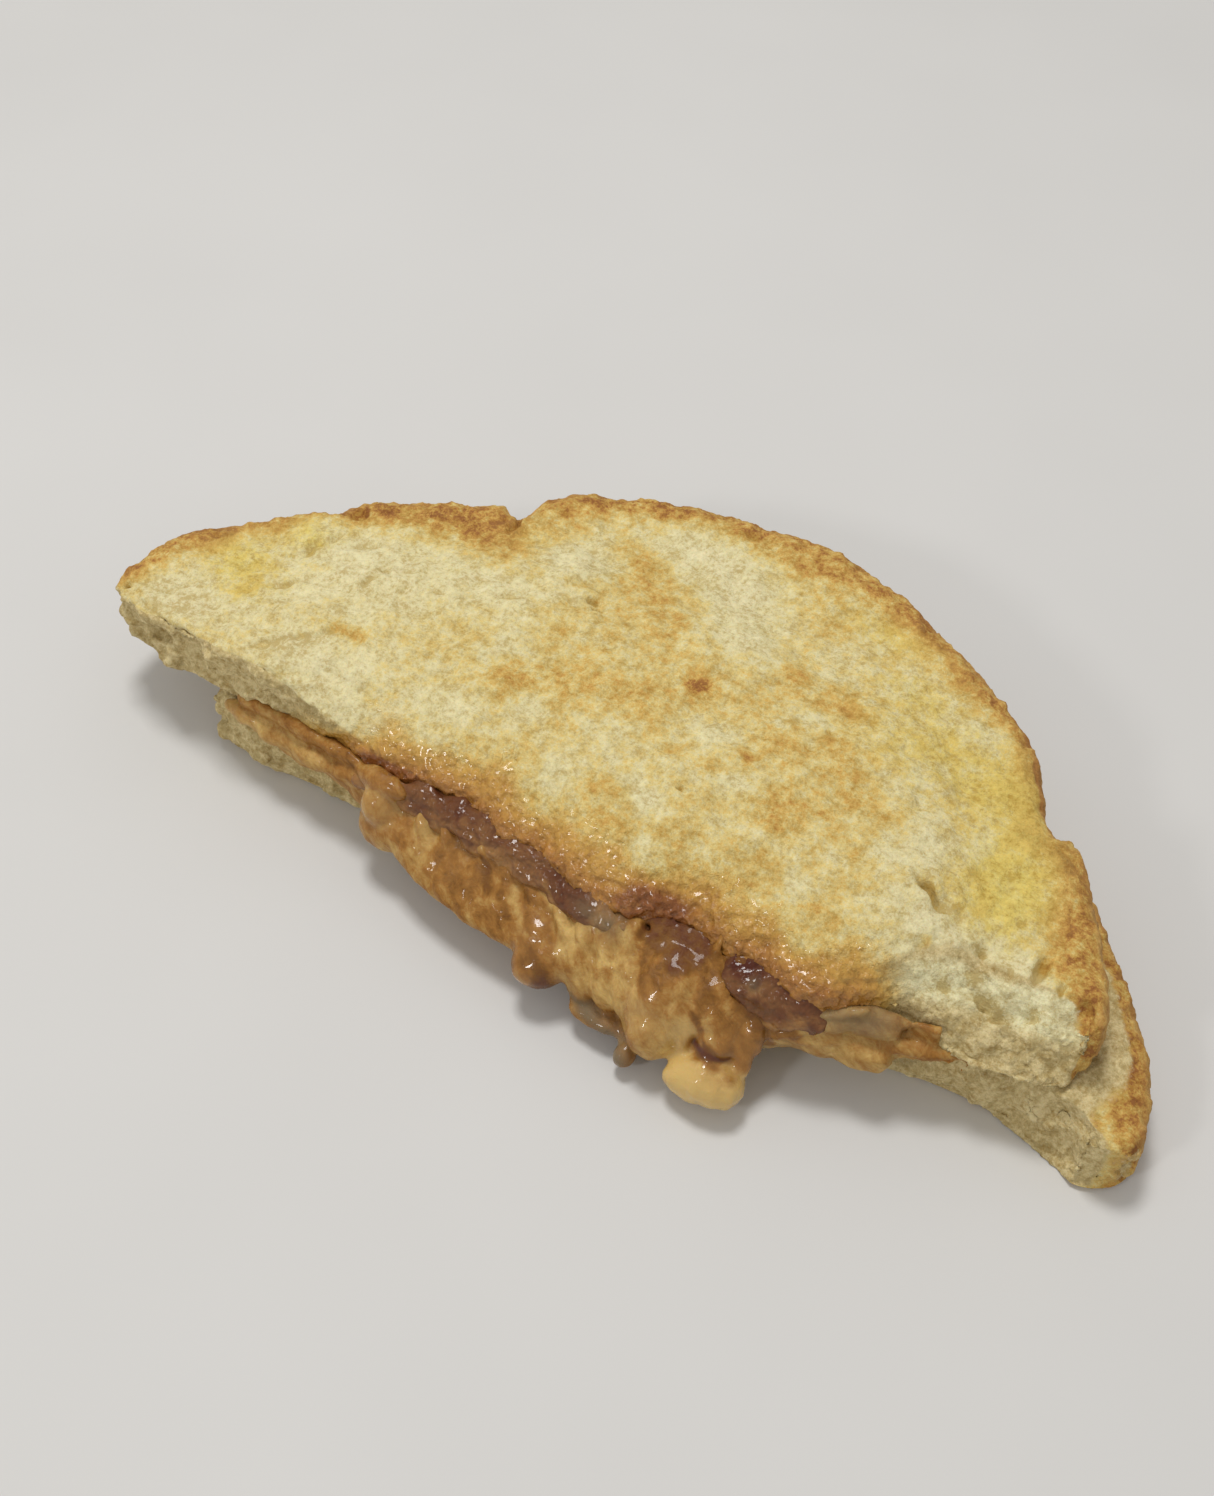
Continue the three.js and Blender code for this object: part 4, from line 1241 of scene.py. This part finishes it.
def peanut_butter_material():
    """Soft peanut butter, from pale to oily brown, with glossy places."""
    material, shader, start = new_material("melted_peanut_butter")
    swirl = start.noise(2.6, detail=4, roughness=0.7, distortion=0.8)
    fine = start.noise(0.8, roughness=0.7)
    smooth_drop = start.mark("tone").between(0.02, 0.12)
    downhill = start.mapped("TEXTURE", Rotation=(0, 0.8, 0), Scale=(4, 1.4, 1))
    flecks = start.noise(1.5, roughness=0.6, distortion=0.4, place=downhill)
    mottle = (swirl - 0.5) * 0.55 + (fine - 0.5) * 0.25 + (flecks - 0.5) * 0.65
    gloss = start.mark("gloss")
    calm = 1 - gloss * 0.45
    tone = start.mark("tone") + mottle * smooth_drop * calm
    rough = start.bump(swirl * calm, 0.5, 0.6)
    folds = start.bump(flecks * calm, 0.5, 0.5, Normal=rough)
    normal = start.bump(fine * calm, 0.5, 0.2, Normal=folds)
    colour = start.mark("watery").mix(tone.ramp(FILLING_RAMP), WATERY_COLOUR)
    feed(
        shader, material, Base_Color=colour, Normal=normal, Roughness=0.5 - gloss * 0.36,
        Subsurface_Weight=0.2, Subsurface_Scale=0.0015, Subsurface_Radius=(1, 0.45, 0.15),
        Specular_IOR_Level=0.14, Coat_Weight=0.08 + gloss * 0.62, Coat_Roughness=0.05,
    )
    return material


peanut_butter.data.materials.append(peanut_butter_material())

# %% Jam material
JAM_RAMP = [
    (0, (0.39, 0.2, 0.066)), (0.3, (0.26, 0.122, 0.042)), (0.6, (0.165, 0.066, 0.026)),
    (1, (0.085, 0.02, 0.01)),
]


def jam_material():
    """Dark wet jam that turns lighter where it is thin."""
    material, shader, start = new_material("wet_jam")
    swirl = start.noise(2.8, distortion=1)
    fine = start.noise(1.1, detail=1)
    tone = start.mark("tone") + (swirl - 0.5)
    lumps = start.bump(swirl, 0.5, 0.6)
    normal = start.bump(fine, 0.8, 0.7, Normal=lumps)
    colour = start.mark("watery").mix(tone.ramp(JAM_RAMP), WATERY_COLOUR)
    feed(
        shader, material, Base_Color=colour, Normal=normal, Roughness=0.16,
        Subsurface_Weight=0.15, Subsurface_Scale=0.0012, Subsurface_Radius=(1.0, 0.3, 0.15),
        Specular_IOR_Level=0.1, Coat_Weight=0.36, Coat_Roughness=0.04,
    )
    return material


jam.data.materials.append(jam_material())

# %% [markdown]
# ## The stage
# A pale table, a soft light almost overhead and a little behind, and a bright room. The cut
# looks away from the main light, so it stays darker than the toast. A small light in front
# puts crisp glints on the wet filling.

# %% The table top
TABLE_SIZE = 3
JUST_BELOW = -0.0002

bpy.ops.object.select_all(action="DESELECT")
bpy.ops.mesh.primitive_plane_add(size=TABLE_SIZE, location=(0, 0, JUST_BELOW))
floor = bpy.context.object
floor.name = "table_top"
floor_material, floor_shader, floor_start = new_material("pale_table")
floor_tone = floor_start.noise(60.0, detail=2)
floor_colour = floor_tone.mix((0.62, 0.61, 0.59), (0.66, 0.65, 0.63))
feed(floor_shader, floor_material, Base_Color=floor_colour, Roughness=0.7)
floor.data.materials.append(floor_material)

# %% Two soft lights and a bright room
MIDDLE = (0, 0, 0.01)
ROOM_LIGHT = 0.48


def soft_light(name, where, target, size, watts):
    """A square soft light that looks at a point."""
    data = bpy.data.lights.new(name, "AREA")
    data.size = size
    data.energy = watts
    light = bpy.data.objects.new(name, data)
    bpy.context.scene.collection.objects.link(light)
    light.location = where
    light.rotation_euler = (Vector(target) - Vector(where)).to_track_quat("-Z", "Y").to_euler()
    print(name, "gives", watts, "watts")


soft_light("key_light", (-0.18, 0.1, 0.85), MIDDLE, size=0.2, watts=3.65)
soft_light("front_light", (-0.21, -0.65, 0.5), MIDDLE, size=0.1, watts=1)
world = bpy.data.worlds.new("soft_room")
world.use_nodes = True
background = world.node_tree.nodes["Background"]
background.inputs["Color"].default_value = (1, 0.98, 0.95, 1)
background.inputs["Strength"].default_value = ROOM_LIGHT
bpy.context.scene.world = world
bpy.context.scene.view_settings.view_transform = "Standard"

# %% [markdown]
# ## Handing over
# Every piece rides on the one rigid body and stands in for its CAD node, which is hidden.

# %% Pieces and the CAD nodes they stand for
for piece, node, slot in (
    (upper_bread, "bread_slice_top", "upper_bread"),
    (lower_bread, "bread_slice_bottom", "lower_bread"),
    (peanut_butter, "peanut_butter", "peanut_butter"),
    (jam, "jam", "jam"),
):
    only(piece)
    bpy.ops.object.shade_smooth()
    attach(piece, "root")
    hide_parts(node)
    print(piece.name, len(piece.data.polygons), "faces")
